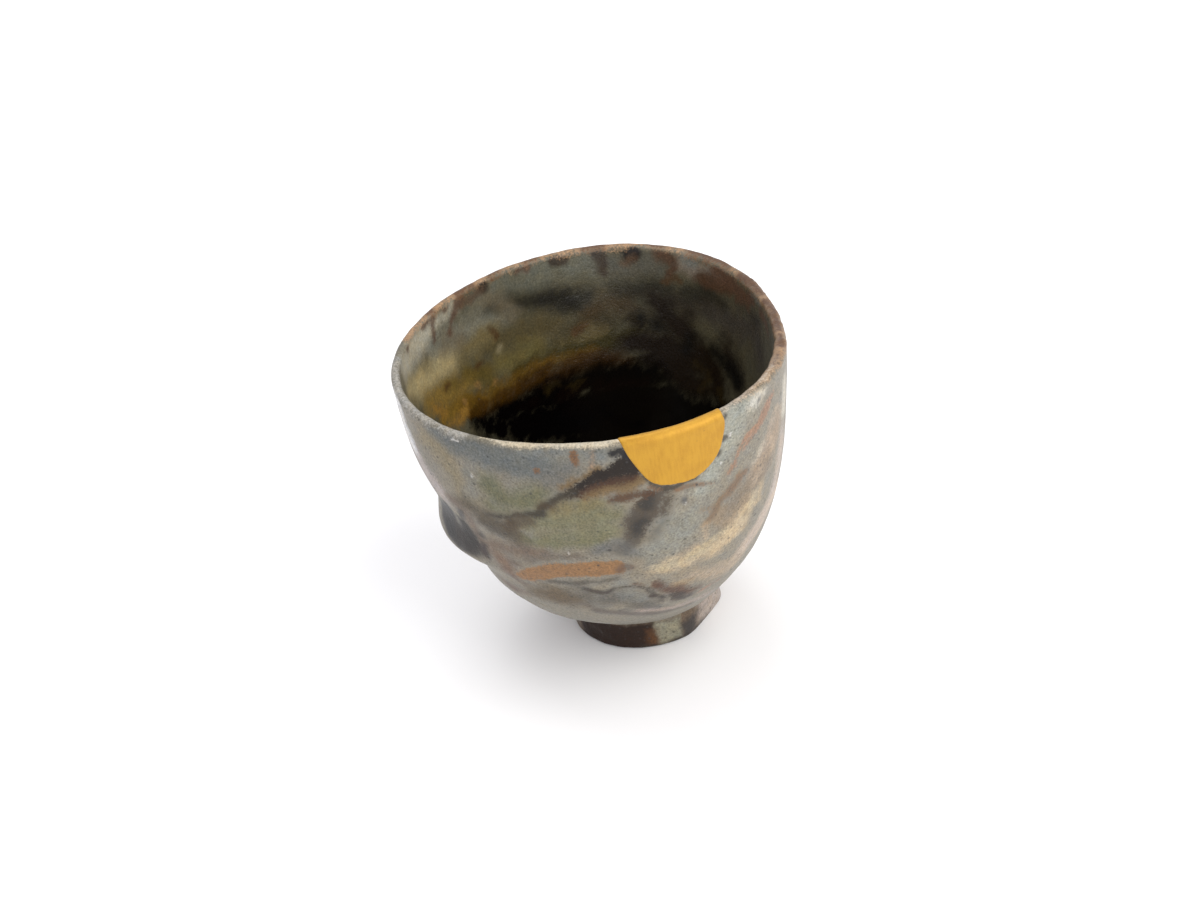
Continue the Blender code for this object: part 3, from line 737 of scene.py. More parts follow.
INSIDE_MARKS = marks_on(Side.INSIDE, (
    ("inside_left_grey", (179, 173, 154), COARSE, 3, 1.6, 0.95,
     (174.5, 64.8, 3, 165, 64.5, 3.6, 156, 64.5, 3.4, 148.5, 64.5, 2.4), (143, 64.5, 2, 140, 65.5, 1.6)),
    ("inside_upper", (104, 103, 89), COARSE, 3, 1.6, 0.95,
     (131.5, 64.3, 2.2, 121.5, 64.1, 3, 112, 64.1, 3.2, 103, 64.1, 3.2, 94.5, 64.1, 3.2, 87, 63.6, 3),
     (200, 57, 4, 250, 58, 4, 300, 58, 4, 340, 57, 4)),
    ("inside_upper_back", (89, 86, 74), COARSE, 3, 1.8, 0.95,
     (81.5, 63.4, 2.6, 75, 62.3, 2.8, 67, 62.7, 2.6)),
    ("inside_upper_right", (135, 123, 109), COARSE, 2.4, 1.6, 0.9,
     (59.5, 64.8, 1.6, 52.5, 64.1, 1.6, 44, 64.3, 1.2)),
    ("inside_mid_left", (129, 127, 112), COARSE, 3, 2, 0.95,
     (151, 59.1, 2.6, 140.5, 58.9, 3, 129, 58.2, 3, 120.5, 56.6, 2.6)),
    ("inside_mid", (85, 75, 48), COARSE, 3, 2, 0.95,
     (125.5, 53, 2.8, 117, 52.7, 3, 108, 52.5, 3, 100, 51.8, 2.6)),
    ("inside_mid_low", (106, 95, 55), COARSE, 2.6, 1.7, 1,
     (124, 48.5, 2.3, 117, 48, 2.53, 108.5, 48.2, 2.53)),
    ("inside_mid_back", (50, 43, 18), COARSE, 2.6, 2, 0.9,
     (94.5, 48.9, 2.2, 89, 49.6, 2.2, 84, 50.9, 2)),
    ("inside_olive_back", (67, 53, 31), COARSE, 2.4, 2, 0.9,
     (88.5, 53.4, 1.6, 82, 53.9, 2, 76, 54.1, 1.6)),
    ("inside_right", (70, 64, 56), COARSE, 3, 1.8, 0.95,
     (15.5, 53.9, 3, 20, 56.8, 3.6, 29.5, 56.8, 3.6, 39, 55.7, 3, 47, 55.7, 2.4)),
    ("inside_right_band", (54, 48, 39), COARSE, 2.4, 1.8, 0.9,
     (63.5, 56.4, 2, 55.5, 55.9, 2.4, 49.5, 58, 2), (33, 60.7, 1.6, 20.5, 60.4, 1.6)),
    ("ochre_pale", (172, 156, 114), COARSE, 2.6, 1.53, 1,
     (176, 59.8, 1.98, 163.5, 56.6, 3.08, 153.5, 55.2, 2.86, 146.5, 54.8, 1.98)),
    ("ochre_left", (130, 106, 52), MIXED, 2.2, 1.7, 1,
     (164, 52.5, 2.16, 154.5, 50.5, 2.88, 146.5, 49.1, 2.88, 139.5, 48.7, 2.16)),
    ("ochre_low", (114, 89, 32), MIXED, 1.8, 1.53, 1,
     (158, 47.3, 1.75, 149.5, 46.2, 2.25, 143.5, 45.6, 2)),
    ("olive_mid", (95, 80, 35), COARSE, 2.2, 1.7, 0.91,
     (138, 50.5, 1.68, 131.5, 47.8, 1.92, 129, 44.9, 1.68), (151.5, 51.6, 1.08, 147, 50.9, 1.08),
     (195, 40, 4.8, 230, 43, 5.4, 270, 45, 5.4, 310, 44, 5.4, 340, 42, 4.8)),
    ("grey_band_left", (109, 106, 91), MIXED, 1.4, 1.4, 0.85,
     (153, 61.3, 1, 146.5, 61.8, 1.2, 141.5, 62, 0.9), (134.5, 61.3, 1.2, 128, 60.9, 1.4)),
    ("dark_band", (28, 27, 21), MIXED, 2.2, 1.36, 0.86,
     (123.5, 60.7, 1.2, 116, 59.8, 1.68, 108.5, 58.4, 1.92, 101.5, 57.5, 2.4, 94.5, 56.4, 1.92,
     88.5, 56.4, 1.44)),
    ("dark_band_blue", (30, 29, 21), MIXED, 2.2, 1.36, 0.76,
     (98, 55, 1.25, 93.5, 55.2, 1.5), (79.5, 57.5, 1.75, 75, 57.1, 2, 68.5, 58.2, 2, 63.5, 58, 1.5),
     (58, 57.7, 1.5, 49.5, 59.8, 2, 42.5, 58.2, 1.5)),
    ("dark_band_core", (21, 19, 14), MIXED, 1.8, 1.1, 0.66,
     (104.5, 58.2, 0.91, 99, 57.3, 1.56, 94.5, 56.6, 1.04)),
    ("inside_shade", (23, 12, 5), COARSE, 3, 2, 0.95,
     (69, 55, 2.4, 64.5, 52.3, 3.2, 59, 50.2, 3.4, 53.5, 48.2, 2.6), (84, 47.3, 1.6, 81, 44.7, 1.6),
     (39, 48.9, 2, 35.5, 46.5, 2.4, 32, 43.8, 2)),
    ("inside_warm", (116, 103, 68), COARSE, 2.6, 1.8, 0.9,
     (138.5, 55.2, 1.6, 132, 55.2, 2.2, 126.5, 55.5, 1.8), (100, 46.2, 1.2, 93, 47.1, 1.6,
     84.5, 47.6, 1.2)),
    ("inside_pale_top", (110, 101, 82), COARSE, 2.4, 1.6, 0.85,
     (127, 64.1, 1.6, 119, 60.9, 2, 113.5, 57.5, 1.6), (146, 58.9, 1.4, 139, 58.4, 1.6)),
    ("olive_shore", (54, 48, 15), RUNNING, 2, 1.27, 1,
     (116.5, 45.4, 1.25, 108, 45.6, 1.5, 99.5, 45.8, 1.75, 91.5, 45.6, 2, 84.5, 46.2, 2.25,
     78, 47.1, 2.25, 72.5, 48.9, 1.5)),
    ("olive_dark", (25, 15, 4), RUNNING, 2.4, 1.27, 1,
     (77, 45.4, 2.07, 70.5, 45.4, 3.45, 64.5, 44.5, 4.14, 57, 43.4, 4.6, 48.5, 43.8, 3.91,
     43.5, 41.1, 3.45, 41.5, 38.5, 2.76), (69.5, 42, 2.76, 61, 40.5, 3.68, 53.5, 38.3, 3.91,
     47.5, 37.4, 2.99), (75, 50.9, 1.38, 72, 49.8, 1.38)),
    ("amber_shore", (98, 72, 18), RUNNING, 1.5, 1.19, 1,
     (146, 44.7, 1.62, 139, 43.8, 2.16, 131.5, 43.1, 1.89, 123.5, 43.1, 1.76, 115.5, 43.4, 1.89,
     108.5, 44, 1.76, 102, 44, 1.35, 95, 43.8, 1.22, 88.5, 44.5, 0.94), (198, 31, 3.51, 235, 34, 3.78,
     270, 35, 3.78, 305, 35, 3.78, 340, 35, 2.97)),
    ("brown_shore", (52, 32, 3), RUNNING, 1.6, 1.27, 1,
     (139, 41.8, 1.44, 129.5, 40.7, 1.68, 119, 41.1, 1.92, 110, 41.4, 2.16, 101, 41.4, 2.16,
     92.5, 41.8, 2.16, 84.5, 42, 1.92, 77, 41.1, 1.68), (196, 27, 3.6, 235, 30, 4.08, 270, 31, 4.08,
     305, 32, 4.08, 345, 33, 3.6)),
    ("black_pool", (4, 1, 1), RUNNING, 2, 1.7, 1,
     (140, 39.4, 2.2, 128, 38.3, 2.8, 117, 38, 3, 106.5, 38, 3, 95, 38, 3.2, 84, 38, 3.2, 73, 38.7, 3,
     64, 37.6, 2), (144, 41.4, 1.8, 138, 38.3, 2.6, 132, 36.1, 3), (124, 34.1, 4, 106, 31.9, 5,
     89.5, 31.5, 6, 73.5, 33.2, 5, 62.5, 33.4, 4, 53, 33.2, 2.4), (100, 22, 7, 60, 26, 8, 20, 30, 8,
     -10, 27, 8), (190, 18, 8.5, 230, 20, 9.5, 270, 21, 10, 310, 22, 9.5, 345, 25, 8.5),
     Band(-220, 220, -9, 15)),
    ("black_right", (5, 3, 1), MIXED, 1.8, 1.53, 0.91,
     (55, 46.9, 1.15, 53.5, 49.1, 1.15, 56.5, 45.4, 0.92), (45.5, 46.9, 1.15, 40.5, 45.8, 1.61,
     34.5, 44.5, 2.07, 30.5, 42.7, 2.07), (68.5, 49.6, 0.8, 65, 49.1, 0.92, 72.5, 51.4, 0.57)),
    ("brown_runs", (12, 3, 1), RUNNING, 1, 1.36, 0.76,
     (119, 40.7, 0.65, 108, 40.9, 0.78, 102, 41.1, 0.78), (103.5, 36.7, 0.91, 95.5, 37.2, 0.91,
     86.5, 37.4, 0.91), (88, 36.3, 0.91, 79, 36.7, 1.04, 71.5, 37.4, 0.78), (121, 37.8, 0.65,
     113.5, 37.8, 0.78), (64.5, 40.7, 0.78, 62.5, 38.7, 0.65)),
    ("olive_runs", (52, 41, 17), RUNNING, 0.9, 1.5, 0.6,
     (49, 36.7, 0.6, 46, 39.8, 0.8), (39.5, 38.5, 0.9, 38, 37.4, 0.9), (52, 42.7, 0.8,
     47.5, 42.3, 0.8), (107.5, 39.2, 0.6, 103.5, 40, 0.6), (98, 38, 0.8, 95, 38.7, 0.6)),
    ("amber_runs", (68, 45, 7), RUNNING, 0.9, 1.2, 0.8,
     (146, 42.9, 0.9, 135.5, 42.5, 1.1, 126, 42.5, 1, 118, 42.3, 0.7), (128.5, 41.4, 0.6,
     119, 41.1, 0.8, 109.5, 41.6, 0.7), (106, 42.3, 0.6, 99, 43.1, 0.8, 92, 43.6, 0.6)),
    ("ochre_edge", (142, 107, 45), MIXED, 1.2, 1.2, 0.9,
     (156.5, 45.4, 0.9, 151.5, 44.3, 1.2, 146, 43.8, 1), (161.5, 50.2, 0.9, 157, 47.8, 1)),
    ("amber_spots", (75, 52, 26), MIXED, 0.8, 0.9, 0.85,
     (133, 51.1, 0.9, 134.5, 50.5, 0.6), (123, 54.3, 0.7, 125, 56.4, 0.5), (93.5, 49.8, 1.1,
     90.5, 50.7, 0.5), (64.5, 60, 0.6, 61.5, 61.3, 0.6, 59.5, 60.4, 0.6), (149.5, 51.4, 0.5,
     152.5, 51.1, 0.5)),
    ("pink_spots", (144, 109, 61), MIXED, 0.7, 0.7, 0.7,
     (136, 46.9, 0.7), (128, 45.4, 0.7), (145, 46, 0.6)),
    ("white_spot", (154, 143, 111), MIXED, 0.8, 0.6, 0.5,
     (122.5, 51.4, 0.8)),
    ("drips_dark", (59, 49, 39), MIXED, 0.7, 0.59, 0.91,
     (84.5, 66, 1.12, 84.5, 65.7, 1.28, 83, 63.9, 1.28, 83, 61.1, 0.8), (125.5, 66, 1.92,
     126.5, 65.7, 1.28), (97.5, 66, 1.92, 95.5, 66, 1.76)),
    ("drips_tan", (92, 69, 55), MIXED, 0.7, 0.59, 0.81,
     (136.5, 66, 1.3, 138.5, 63.9, 0.91, 141.5, 61.6, 0.65, 143, 60, 0.52), (150, 66, 1.04,
     151, 64.5, 0.91, 151.5, 61.8, 0.52), (155, 66, 1.17, 152.5, 66, 0.91), (108, 66, 1.04,
     108, 66, 1.17), (143, 66, 0.91, 142, 66, 0.65), (110.5, 66, 0.91), (168, 66, 0.78)),
    ("drips_brown_left", (92, 73, 57), MIXED, 0.8, 0.9, 0.75,
     (136, 64.3, 0.9, 131.5, 64.3, 1.1, 126.5, 65, 0.9), (143, 66, 0.5, 142, 64.8, 0.4)),
    ("lip_stain_right", (80, 56, 38), MIXED, 1, 0.94, 0.91,
     (67.5, 66, 1.04, 66, 65.5, 1.43, 62, 64.5, 1.17, 63.5, 62, 0.78), (52.5, 62.3, 1.43,
     46, 62.3, 1.69, 40, 62.5, 1.56)),
    ("brown_right_rim", (92, 66, 48), MIXED, 1.1, 1.02, 0.96,
     (46, 65.2, 1.3, 39, 64.1, 1.69, 32, 63.2, 1.69, 24.5, 64.1, 1.3), (34.5, 62, 1.17, 28, 62, 1.04),
     (16.5, 63.4, 1.17, 8.5, 62.9, 1.17, 5, 61.6, 0.78)),
    ("grey_in_stain", (110, 114, 108), MIXED, 0.9, 1, 0.7,
     (24.5, 66, 0.8, 16.5, 66, 0.8), (58.5, 65.9, 0.9, 54.5, 65.2, 0.9)),
    ("black_spot", (24, 19, 14), MIXED, 0.7, 0.51, 1,
     (74.5, 66, 1.8, 74.5, 65.5, 2.16)),
    ("brown_by_spot", (102, 78, 57), MIXED, 0.9, 0.8, 0.6,
     (74, 64.1, 0.8, 77, 63.6, 0.6), (72, 66, 0.6)),
))

LIP_MARKS = marks_on(Side.LIP, (
    ("cream_lip", (208, 196, 172), STIPPLED, 0.5, 0.35, 0.85,
     (230, 0, 0.4, 244, 0, 1, 262, 0, 1, 284, 0, 0.5)),
    ("grey_lip", (176, 173, 165), STIPPLED, 0.8, 0.6, 0.8,
     (176, 0, 1, 190, 0, 1, 206, 0, 1, 224, 0, 1)),
    ("tan_lip", (170, 136, 102), STIPPLED, 0.8, 0.7, 0.9,
     (-54, 0, 0.6, -40, 0, 1.14, -26, 0, 1.54, -10, 0, 1.66, 8, 0, 1.62, 30, 0, 1.5), (30, 0, 1.2,
     64, 0, 1.16, 90, 0, 1.12, 120, 0, 1.08, 146, 0, 1.04, 165, 0, 1)),
    ("pale_lip", (196, 184, 166), STIPPLED, 0.7, 0.7, 0.75,
     (-60, 0, 0.7, -44, 0, 0.7, -28, 0, 0.7)),
    ("brown_lip", (84, 56, 38), STIPPLED, 0.7, 1, 0.85,
     (-32, 0, 0.4, -27, 0, 0.5), (-20, 0, 0.7, -13, 0, 0.9), (-8, 0, 0.9, 0, 0, 1.3, 8, 0, 1.1,
     14, 0, 0.8), (20, 0, 1, 28, 0, 1.3, 36, 0, 1), (42, 0, 0.8, 50, 0, 1.1, 58, 0, 0.8), (66, 0, 0.7,
     70, 0, 0.7), (84, 0, 0.9, 88, 0, 0.9), (104, 0, 0.6, 108, 0, 0.6), (118, 0, 0.9, 121, 0, 0.9),
     (130, 0, 0.9, 136, 0, 0.9), (148, 0, 0.6, 151, 0, 0.6)),
))

FOOT_MARKS = marks_on(Side.OUTSIDE, (
    ("bare_foot", (112, 96, 80), MIXED, 0.5, 0.5, 1,
     Band(-180, 180, -1, 6.8)),
    ("pink_foot", (178, 164, 152), MIXED, 2.6, 2, 1,
     Band(-50, 62, -1, 7.5)),
    ("green_foot", (146, 142, 122), MIXED, 0.9, 0.8, 1,
     Band(-88, -67, -1, 6.4)),
    ("dark_foot", (44, 25, 13), MIXED, 0.7, 0.6, 1,
     Band(205, 272, -1, 6.5)),
    ("amber_foot", (110, 72, 40), MIXED, 1.3, 0.8, 0.8,
     Band(266, 273, -1, 4.4)),
    ("grey_foot", (70, 64, 60), MIXED, 1.4, 1.2, 1,
     Band(-68, -52, -1, 4.6)),
    # Painted shadow: a dark hem along the foot's bottom edge at the front, where it meets the floor.
    ("painted_shadow_foot_hem", (58, 50, 42), MIXED, 0.8, 0.6, 1,
     Band(-100, -30, -1, 0.5)),
))

MARKS = FOOT_MARKS + OUTSIDE_MARKS + INSIDE_MARKS + LIP_MARKS


# Finishes


class NodeSheet:
    """A node tree that is filled in from code."""

    def __init__(self, tree: bpy.types.NodeTree) -> None:
        """Start on an emptied tree."""
        self.tree = tree
        tree.nodes.clear()

    def add(self, kind: str, **settings: object) -> bpy.types.Node:
        """Add a node and set its properties.

        Args:
            kind: the node's type name.
            settings: the properties to set on it.

        Returns:
            The new node.
        """
        node = self.tree.nodes.new(kind)
        for name, value in settings.items():
            setattr(node, name, value)
        return node

    def feed(self, socket: bpy.types.NodeSocket, value: object) -> None:
        """Set an input to a plain value, or link it when the value is another node's output."""
        if isinstance(value, bpy.types.NodeSocket):
            self.tree.links.new(value, socket)
        else:
            socket.default_value = value

    def maths(self, operation: str, first: object, second: object = 0.0,
              clamp: bool = False) -> bpy.types.NodeSocket:
        """Return the result of a sum on one or two values."""
        node = self.add("ShaderNodeMath", operation=operation, use_clamp=clamp)
        self.feed(node.inputs[0], first)
        self.feed(node.inputs[1], second)
        return node.outputs[0]

    def noise(self, vector: object, size: float, octaves: float = 2.0,
              roughness: float = 0.5) -> bpy.types.NodeSocket:
        """Return noise between 0 and 1 whose swells have a size in metres."""
        node = self.add("ShaderNodeTexNoise")
        self.feed(node.inputs["Vector"], vector)
        self.feed(node.inputs["Scale"], 1.0 / size)
        self.feed(node.inputs["Detail"], octaves)
        self.feed(node.inputs["Roughness"], roughness)
        return node.outputs["Fac"]

    def swing(self, value: object, reach: float) -> bpy.types.NodeSocket:
        """Return noise from 0 to 1 spread to a swing of about plus and minus one."""
        return self.maths("MULTIPLY", self.maths("SUBTRACT", value, 0.5), reach)

    def ramp(self, value: object, low: object, high: object, start: float = 0.0,
             end: float = 1.0) -> bpy.types.NodeSocket:
        """Return a smooth step from start to end as a value goes from low to high."""
        node = self.add("ShaderNodeMapRange", interpolation_type="SMOOTHSTEP")
        for socket, given in zip(("Value", "From Min", "From Max", "To Min", "To Max"),
                                 (value, low, high, start, end)):
            self.feed(node.inputs[socket], given)
        return node.outputs["Result"]

    def mix(self, amount: object, below: object, above: object,
            blend: str = "MIX") -> bpy.types.NodeSocket:
        """Return one colour laid over another."""
        node = self.add("ShaderNodeMix", data_type="RGBA", blend_type=blend)
        self.feed(node.inputs["Factor"], amount)
        self.feed(node.inputs[6], below)
        self.feed(node.inputs[7], above)
        return node.outputs[2]

    def mask(self, name: str) -> bpy.types.NodeSocket:
        """Return the value that the piece's corners hold under a name."""
        return self.add("ShaderNodeAttribute", attribute_name=name).outputs["Fac"]


class FinishGroups:
    """The effects that more than one finish or mark uses, each a node group built once."""

    coarse_size: float = 6.0 * MM
    mixed_size: float = 3.2 * MM
    fine_size: float = 0.42 * MM
    running_size: float = 1.9 * MM
    running_stretch: float = 2.6
    running_slant: tuple = (0.0, math.radians(-38), math.radians(12))
    tint_size: float = 2.6 * MM
    speck_spacing: float = 2.1 * MM
    pinprick_spacing: float = 0.95 * MM
    ash_spacing: float = 1.1 * MM
    contrast: float = 3.4
    mixed_contrast: float = 4.0

    def __init__(self) -> None:
        """Build the groups."""
        self.grain = self.make_grain()
        self.mark = self.make_mark()

    @staticmethod
    def new_group(name: str, inputs: tuple, outputs: tuple) -> tuple:
        """Make a node group with named sockets.

        Args:
            name: the group's name.
            inputs: pairs of socket name and socket type.
            outputs: pairs of socket name and socket type.

        Returns:
            The group, its sheet, its input node and its output node.
        """
        group = bpy.data.node_groups.new(name, "ShaderNodeTree")
        for direction, sockets in (("INPUT", inputs), ("OUTPUT", outputs)):
            for label, kind in sockets:
                group.interface.new_socket(name=label, in_out=direction, socket_type=kind)
        sheet = NodeSheet(group)
        return group, sheet, sheet.add("NodeGroupInput"), sheet.add("NodeGroupOutput")

    def make_grain(self) -> bpy.types.NodeTree:
        """Build the fired clay's grain at several sizes, its tint, its specks and its ash."""
        names = ("Coarse", "Mixed", "Fine", "Stippled", "Running", "Tint", "Specks", "Pinpricks", "Ash")
        group, sheet, _, out = self.new_group(
            "fired_grain", (), tuple((name, "NodeSocketFloat") for name in names))
        place = sheet.add("ShaderNodeTexCoord").outputs["Object"]
        mixed = sheet.swing(sheet.noise(place, self.mixed_size, 6.0, 0.72), self.mixed_contrast)
        fine = sheet.swing(sheet.noise(place, self.fine_size, 2.0, 0.6), self.contrast)
        stippled = sheet.maths("ADD", sheet.maths("MULTIPLY", fine, 1.1),
                               sheet.maths("MULTIPLY", mixed, 0.8))
        running = sheet.noise(self.stretched(sheet, place), self.running_size, 4.0, 0.6)
        tint = sheet.noise(self.shifted(sheet, place, 0.031), self.tint_size, 4.0, 0.65)
        coarse = sheet.noise(place, self.coarse_size, 4.0, 0.6)
        for_pinpricks = self.shifted(sheet, place, 0.017)
        for_ash = self.shifted(sheet, place, 0.053)
        for name, value in (
            ("Coarse", sheet.swing(coarse, self.contrast)),
            ("Mixed", mixed),
            ("Fine", fine),
            ("Stippled", stippled),
            ("Running", sheet.swing(running, self.contrast)),
            ("Tint", sheet.swing(tint, self.contrast)),
            ("Specks", self.dots(sheet, place, self.speck_spacing, 0.06, 0.24)),
            ("Pinpricks", self.dots(sheet, for_pinpricks, self.pinprick_spacing, 0.14, 0.38)),
            ("Ash", self.dots(sheet, for_ash, self.ash_spacing, 0.14, 0.40)),
        ):
            sheet.feed(out.inputs[name], value)
        return group

    def stretched(self, sheet: NodeSheet, place: object) -> bpy.types.NodeSocket:
        """Return places pulled out along the slant in which the glaze ran inside."""
        mapping = sheet.add("ShaderNodeMapping", vector_type="TEXTURE")
        sheet.feed(mapping.inputs["Vector"], place)
        mapping.inputs["Rotation"].default_value = self.running_slant
        mapping.inputs["Scale"].default_value = (self.running_stretch, 1.0, 1.0)
        return mapping.outputs["Vector"]

    @staticmethod
    def shifted(sheet: NodeSheet, place: object, step: float) -> bpy.types.NodeSocket:
        """Return places moved by a step, so that a pattern on them is another one."""
        mapping = sheet.add("ShaderNodeMapping")
        sheet.feed(mapping.inputs["Vector"], place)
        mapping.inputs["Location"].default_value = (step, 2 * step, -step)
        return mapping.outputs["Vector"]

    @staticmethod
    def dots(sheet: NodeSheet, place: object, spacing: float, smallest: float,
             largest: float) -> bpy.types.NodeSocket:
        """Return a mask of scattered round dots.

        Args:
            sheet: the sheet to build on.
            place: where the dots are looked up.
            spacing: the usual distance between two dots.
            smallest: the least radius, as a share of the spacing.
            largest: the greatest radius, as a share of the spacing.

        Returns:
            A value of one in the dots' middles and of zero between them.
        """
        cells = sheet.add("ShaderNodeTexVoronoi")
        sheet.feed(cells.inputs["Vector"], place)
        sheet.feed(cells.inputs["Scale"], 1.0 / spacing)
        pick = sheet.add("ShaderNodeSeparateColor")
        sheet.feed(pick.inputs[0], cells.outputs["Color"])
        size = sheet.ramp(pick.outputs[0], 0.2, 1.0, smallest, largest)
        soft = sheet.maths("MULTIPLY", size, 0.45)
        return sheet.ramp(cells.outputs["Distance"], size, soft)

    def make_mark(self) -> bpy.types.NodeTree:
        """Build the group that lays one ragged-edged mark over the colour below it."""
        value = "NodeSocketFloat"
        colour = "NodeSocketColor"
        group, sheet, given, out = self.new_group("ragged_mark", (
            ("Below", colour), ("Mark", colour), ("Depth", value), ("Grain", value),
            ("Ragged", value), ("Softness", value), ("Strength", value),
        ), (("Colour", colour), ("Mask", value)))
        pushed = sheet.maths("ADD", given.outputs["Depth"],
                             sheet.maths("MULTIPLY", given.outputs["Grain"], given.outputs["Ragged"]))
        low = sheet.maths("MULTIPLY", given.outputs["Softness"], -1.0)
        covered = sheet.ramp(pushed, low, given.outputs["Softness"])
        amount = sheet.maths("MULTIPLY", covered, given.outputs["Strength"])
        sheet.feed(out.inputs["Mask"], amount)
        sheet.feed(out.inputs["Colour"],
                   sheet.mix(amount, given.outputs["Below"], given.outputs["Mark"]))
        return group


@dataclass(frozen=True)
class ClayFinish:
    """Wood-fired stoneware: ash glaze outside, a dark glass inside, bare clay on the foot."""

    name: str = "wood_fired_clay"
    base: tuple = (142, 136, 122)
    inside_base: tuple = (86, 81, 62)
    outside_gain: float = 0.72
    inside_gain: float = 0.80
    outside_roughness: float = 0.52
    inside_roughness: float = 0.34
    pool_roughness: float = 0.13
    gloss: float = 0.28
    dust: float = 0.07
    dust_spread: float = 0.30
    fine_contrast: float = 0.42
    mixed_contrast: float = 0.16
    inside_grain: float = 0.75
    speck_strength: float = 0.80
    pinprick_strength: float = 0.55
    ash_lift: float = 1.22
    cool_tint: tuple = (0.955, 0.995, 1.06, 1.0)
    warm_tint: tuple = (1.055, 1.0, 0.91, 1.0)
    speck_colour: tuple = (0.030, 0.028, 0.026, 1.0)
    pinprick_colour: tuple = (0.045, 0.044, 0.044, 1.0)
    bump_height: float = 0.08 * MM

    def gain(self, side: Side) -> float:
        """Return how much lighter the surface is than it shows on a side of the wall."""
        return self.inside_gain if side is Side.INSIDE else self.outside_gain

    def build(self, groups: FinishGroups) -> bpy.types.Material:
        """Return the material.

        Args:
            groups: the shared effects.

        Returns:
            The finished material.
        """
        material = bpy.data.materials.new(self.name)
        material.use_nodes = True
        sheet = NodeSheet(material.node_tree)
        grain = sheet.add("ShaderNodeGroup")
        grain.node_tree = groups.grain
        inside = sheet.mask("inside")
        colour = sheet.mix(inside, daylight(self.base, self.outside_gain),
                           daylight(self.inside_base, self.inside_gain))
        pool = 0.0
        # The marks are laid in order. Most are the clay's own colours; a few are painted sheen, painted
        # glints, painted shade and painted shadow.
        for mark in MARKS:
            layer = sheet.add("ShaderNodeGroup")
            layer.node_tree = groups.mark
            for socket, value in (
                ("Below", colour),
                ("Mark", daylight(mark.colour, self.gain(mark.side))),
                ("Depth", sheet.mask(mark.name)),
                ("Grain", grain.outputs[mark.grain.value]),
                ("Ragged", mark.ragged),
                ("Softness", mark.softness),
                ("Strength", mark.strength),
            ):
                sheet.feed(layer.inputs[socket], value)
            colour = layer.outputs["Colour"]
            if mark.name == "black_pool":
                pool = layer.outputs["Mask"]
        dry = sheet.maths("SUBTRACT", 1.0, pool, clamp=True)
        colour = self.with_grain(sheet, colour, grain, inside, dry)
        shader = sheet.add("ShaderNodeBsdfPrincipled")
        shader.inputs["Specular IOR Level"].default_value = self.gloss
        shader.inputs["Sheen Weight"].default_value = self.dust
        shader.inputs["Sheen Roughness"].default_value = self.dust_spread
        sheet.feed(shader.inputs["Base Color"], colour)
        sheet.feed(shader.inputs["Roughness"], self.roughness(sheet, grain, inside, dry))
        sheet.feed(shader.inputs["Normal"], self.surface(sheet, grain, dry))
        output = sheet.add("ShaderNodeOutputMaterial")
        sheet.feed(output.inputs["Surface"], shader.outputs["BSDF"])
        return material

    def with_grain(self, sheet: NodeSheet, colour: object, grain: bpy.types.Node, inside: object,
                   dry: object) -> bpy.types.NodeSocket:
        """Lay the grain, its tint, the dark specks and the pale ash over a colour."""
        fine = sheet.maths("MULTIPLY", grain.outputs["Fine"], self.fine_contrast)
        mixed = sheet.maths("MULTIPLY", grain.outputs["Mixed"], self.mixed_contrast)
        both = sheet.maths("ADD", fine, mixed)
        outside = sheet.ramp(inside, 0.0, 1.0, 1.0, self.inside_grain)
        light = sheet.maths("ADD", sheet.maths("MULTIPLY", both, outside), 1.0)
        tinted = sheet.add("ShaderNodeVectorMath", operation="SCALE")
        warmth = sheet.ramp(grain.outputs["Tint"], -1.0, 1.0)
        filtered = sheet.mix(warmth, self.cool_tint, self.warm_tint)
        sheet.feed(tinted.inputs[0], sheet.mix(1.0, colour, filtered, "MULTIPLY"))
        sheet.feed(tinted.inputs["Scale"], light)
        colour = tinted.outputs[0]
        clustered = sheet.ramp(grain.outputs["Coarse"], -0.7, 0.9, 0.35, 1.0)
        for name, strength, tone in (
            ("Specks", self.speck_strength, self.speck_colour),
            ("Pinpricks", self.pinprick_strength, self.pinprick_colour),
        ):
            amount = sheet.maths("MULTIPLY", grain.outputs[name], strength)
            amount = sheet.maths("MULTIPLY", amount, sheet.maths("MULTIPLY", dry, clustered))
            amount = sheet.maths("MULTIPLY", amount, sheet.ramp(inside, 0.0, 1.0, 1.0, 0.25))
            colour = sheet.mix(amount, colour, tone)
        lighter = sheet.add("ShaderNodeVectorMath", operation="SCALE")
        sheet.feed(lighter.inputs[0], colour)
        lighter.inputs["Scale"].default_value = self.ash_lift
        amount = sheet.maths("MULTIPLY", grain.outputs["Ash"], sheet.maths("MULTIPLY", dry, clustered))
        return sheet.mix(amount, colour, lighter.outputs[0])

    def roughness(self, sheet: NodeSheet, grain: bpy.types.Node, inside: object,
                  dry: object) -> bpy.types.NodeSocket:
        """Return the roughness: satin outside, glossier inside, glassy in the pool."""
        plain = sheet.ramp(inside, 0.0, 1.0, self.outside_roughness, self.inside_roughness)
        varied = sheet.maths("ADD", plain, sheet.maths("MULTIPLY", grain.outputs["Mixed"], 0.06))
        kept = sheet.maths("MULTIPLY", varied, dry)
        glassy = sheet.maths("SUBTRACT", self.pool_roughness,
                             sheet.maths("MULTIPLY", dry, self.pool_roughness))
        return sheet.maths("ADD", kept, glassy)

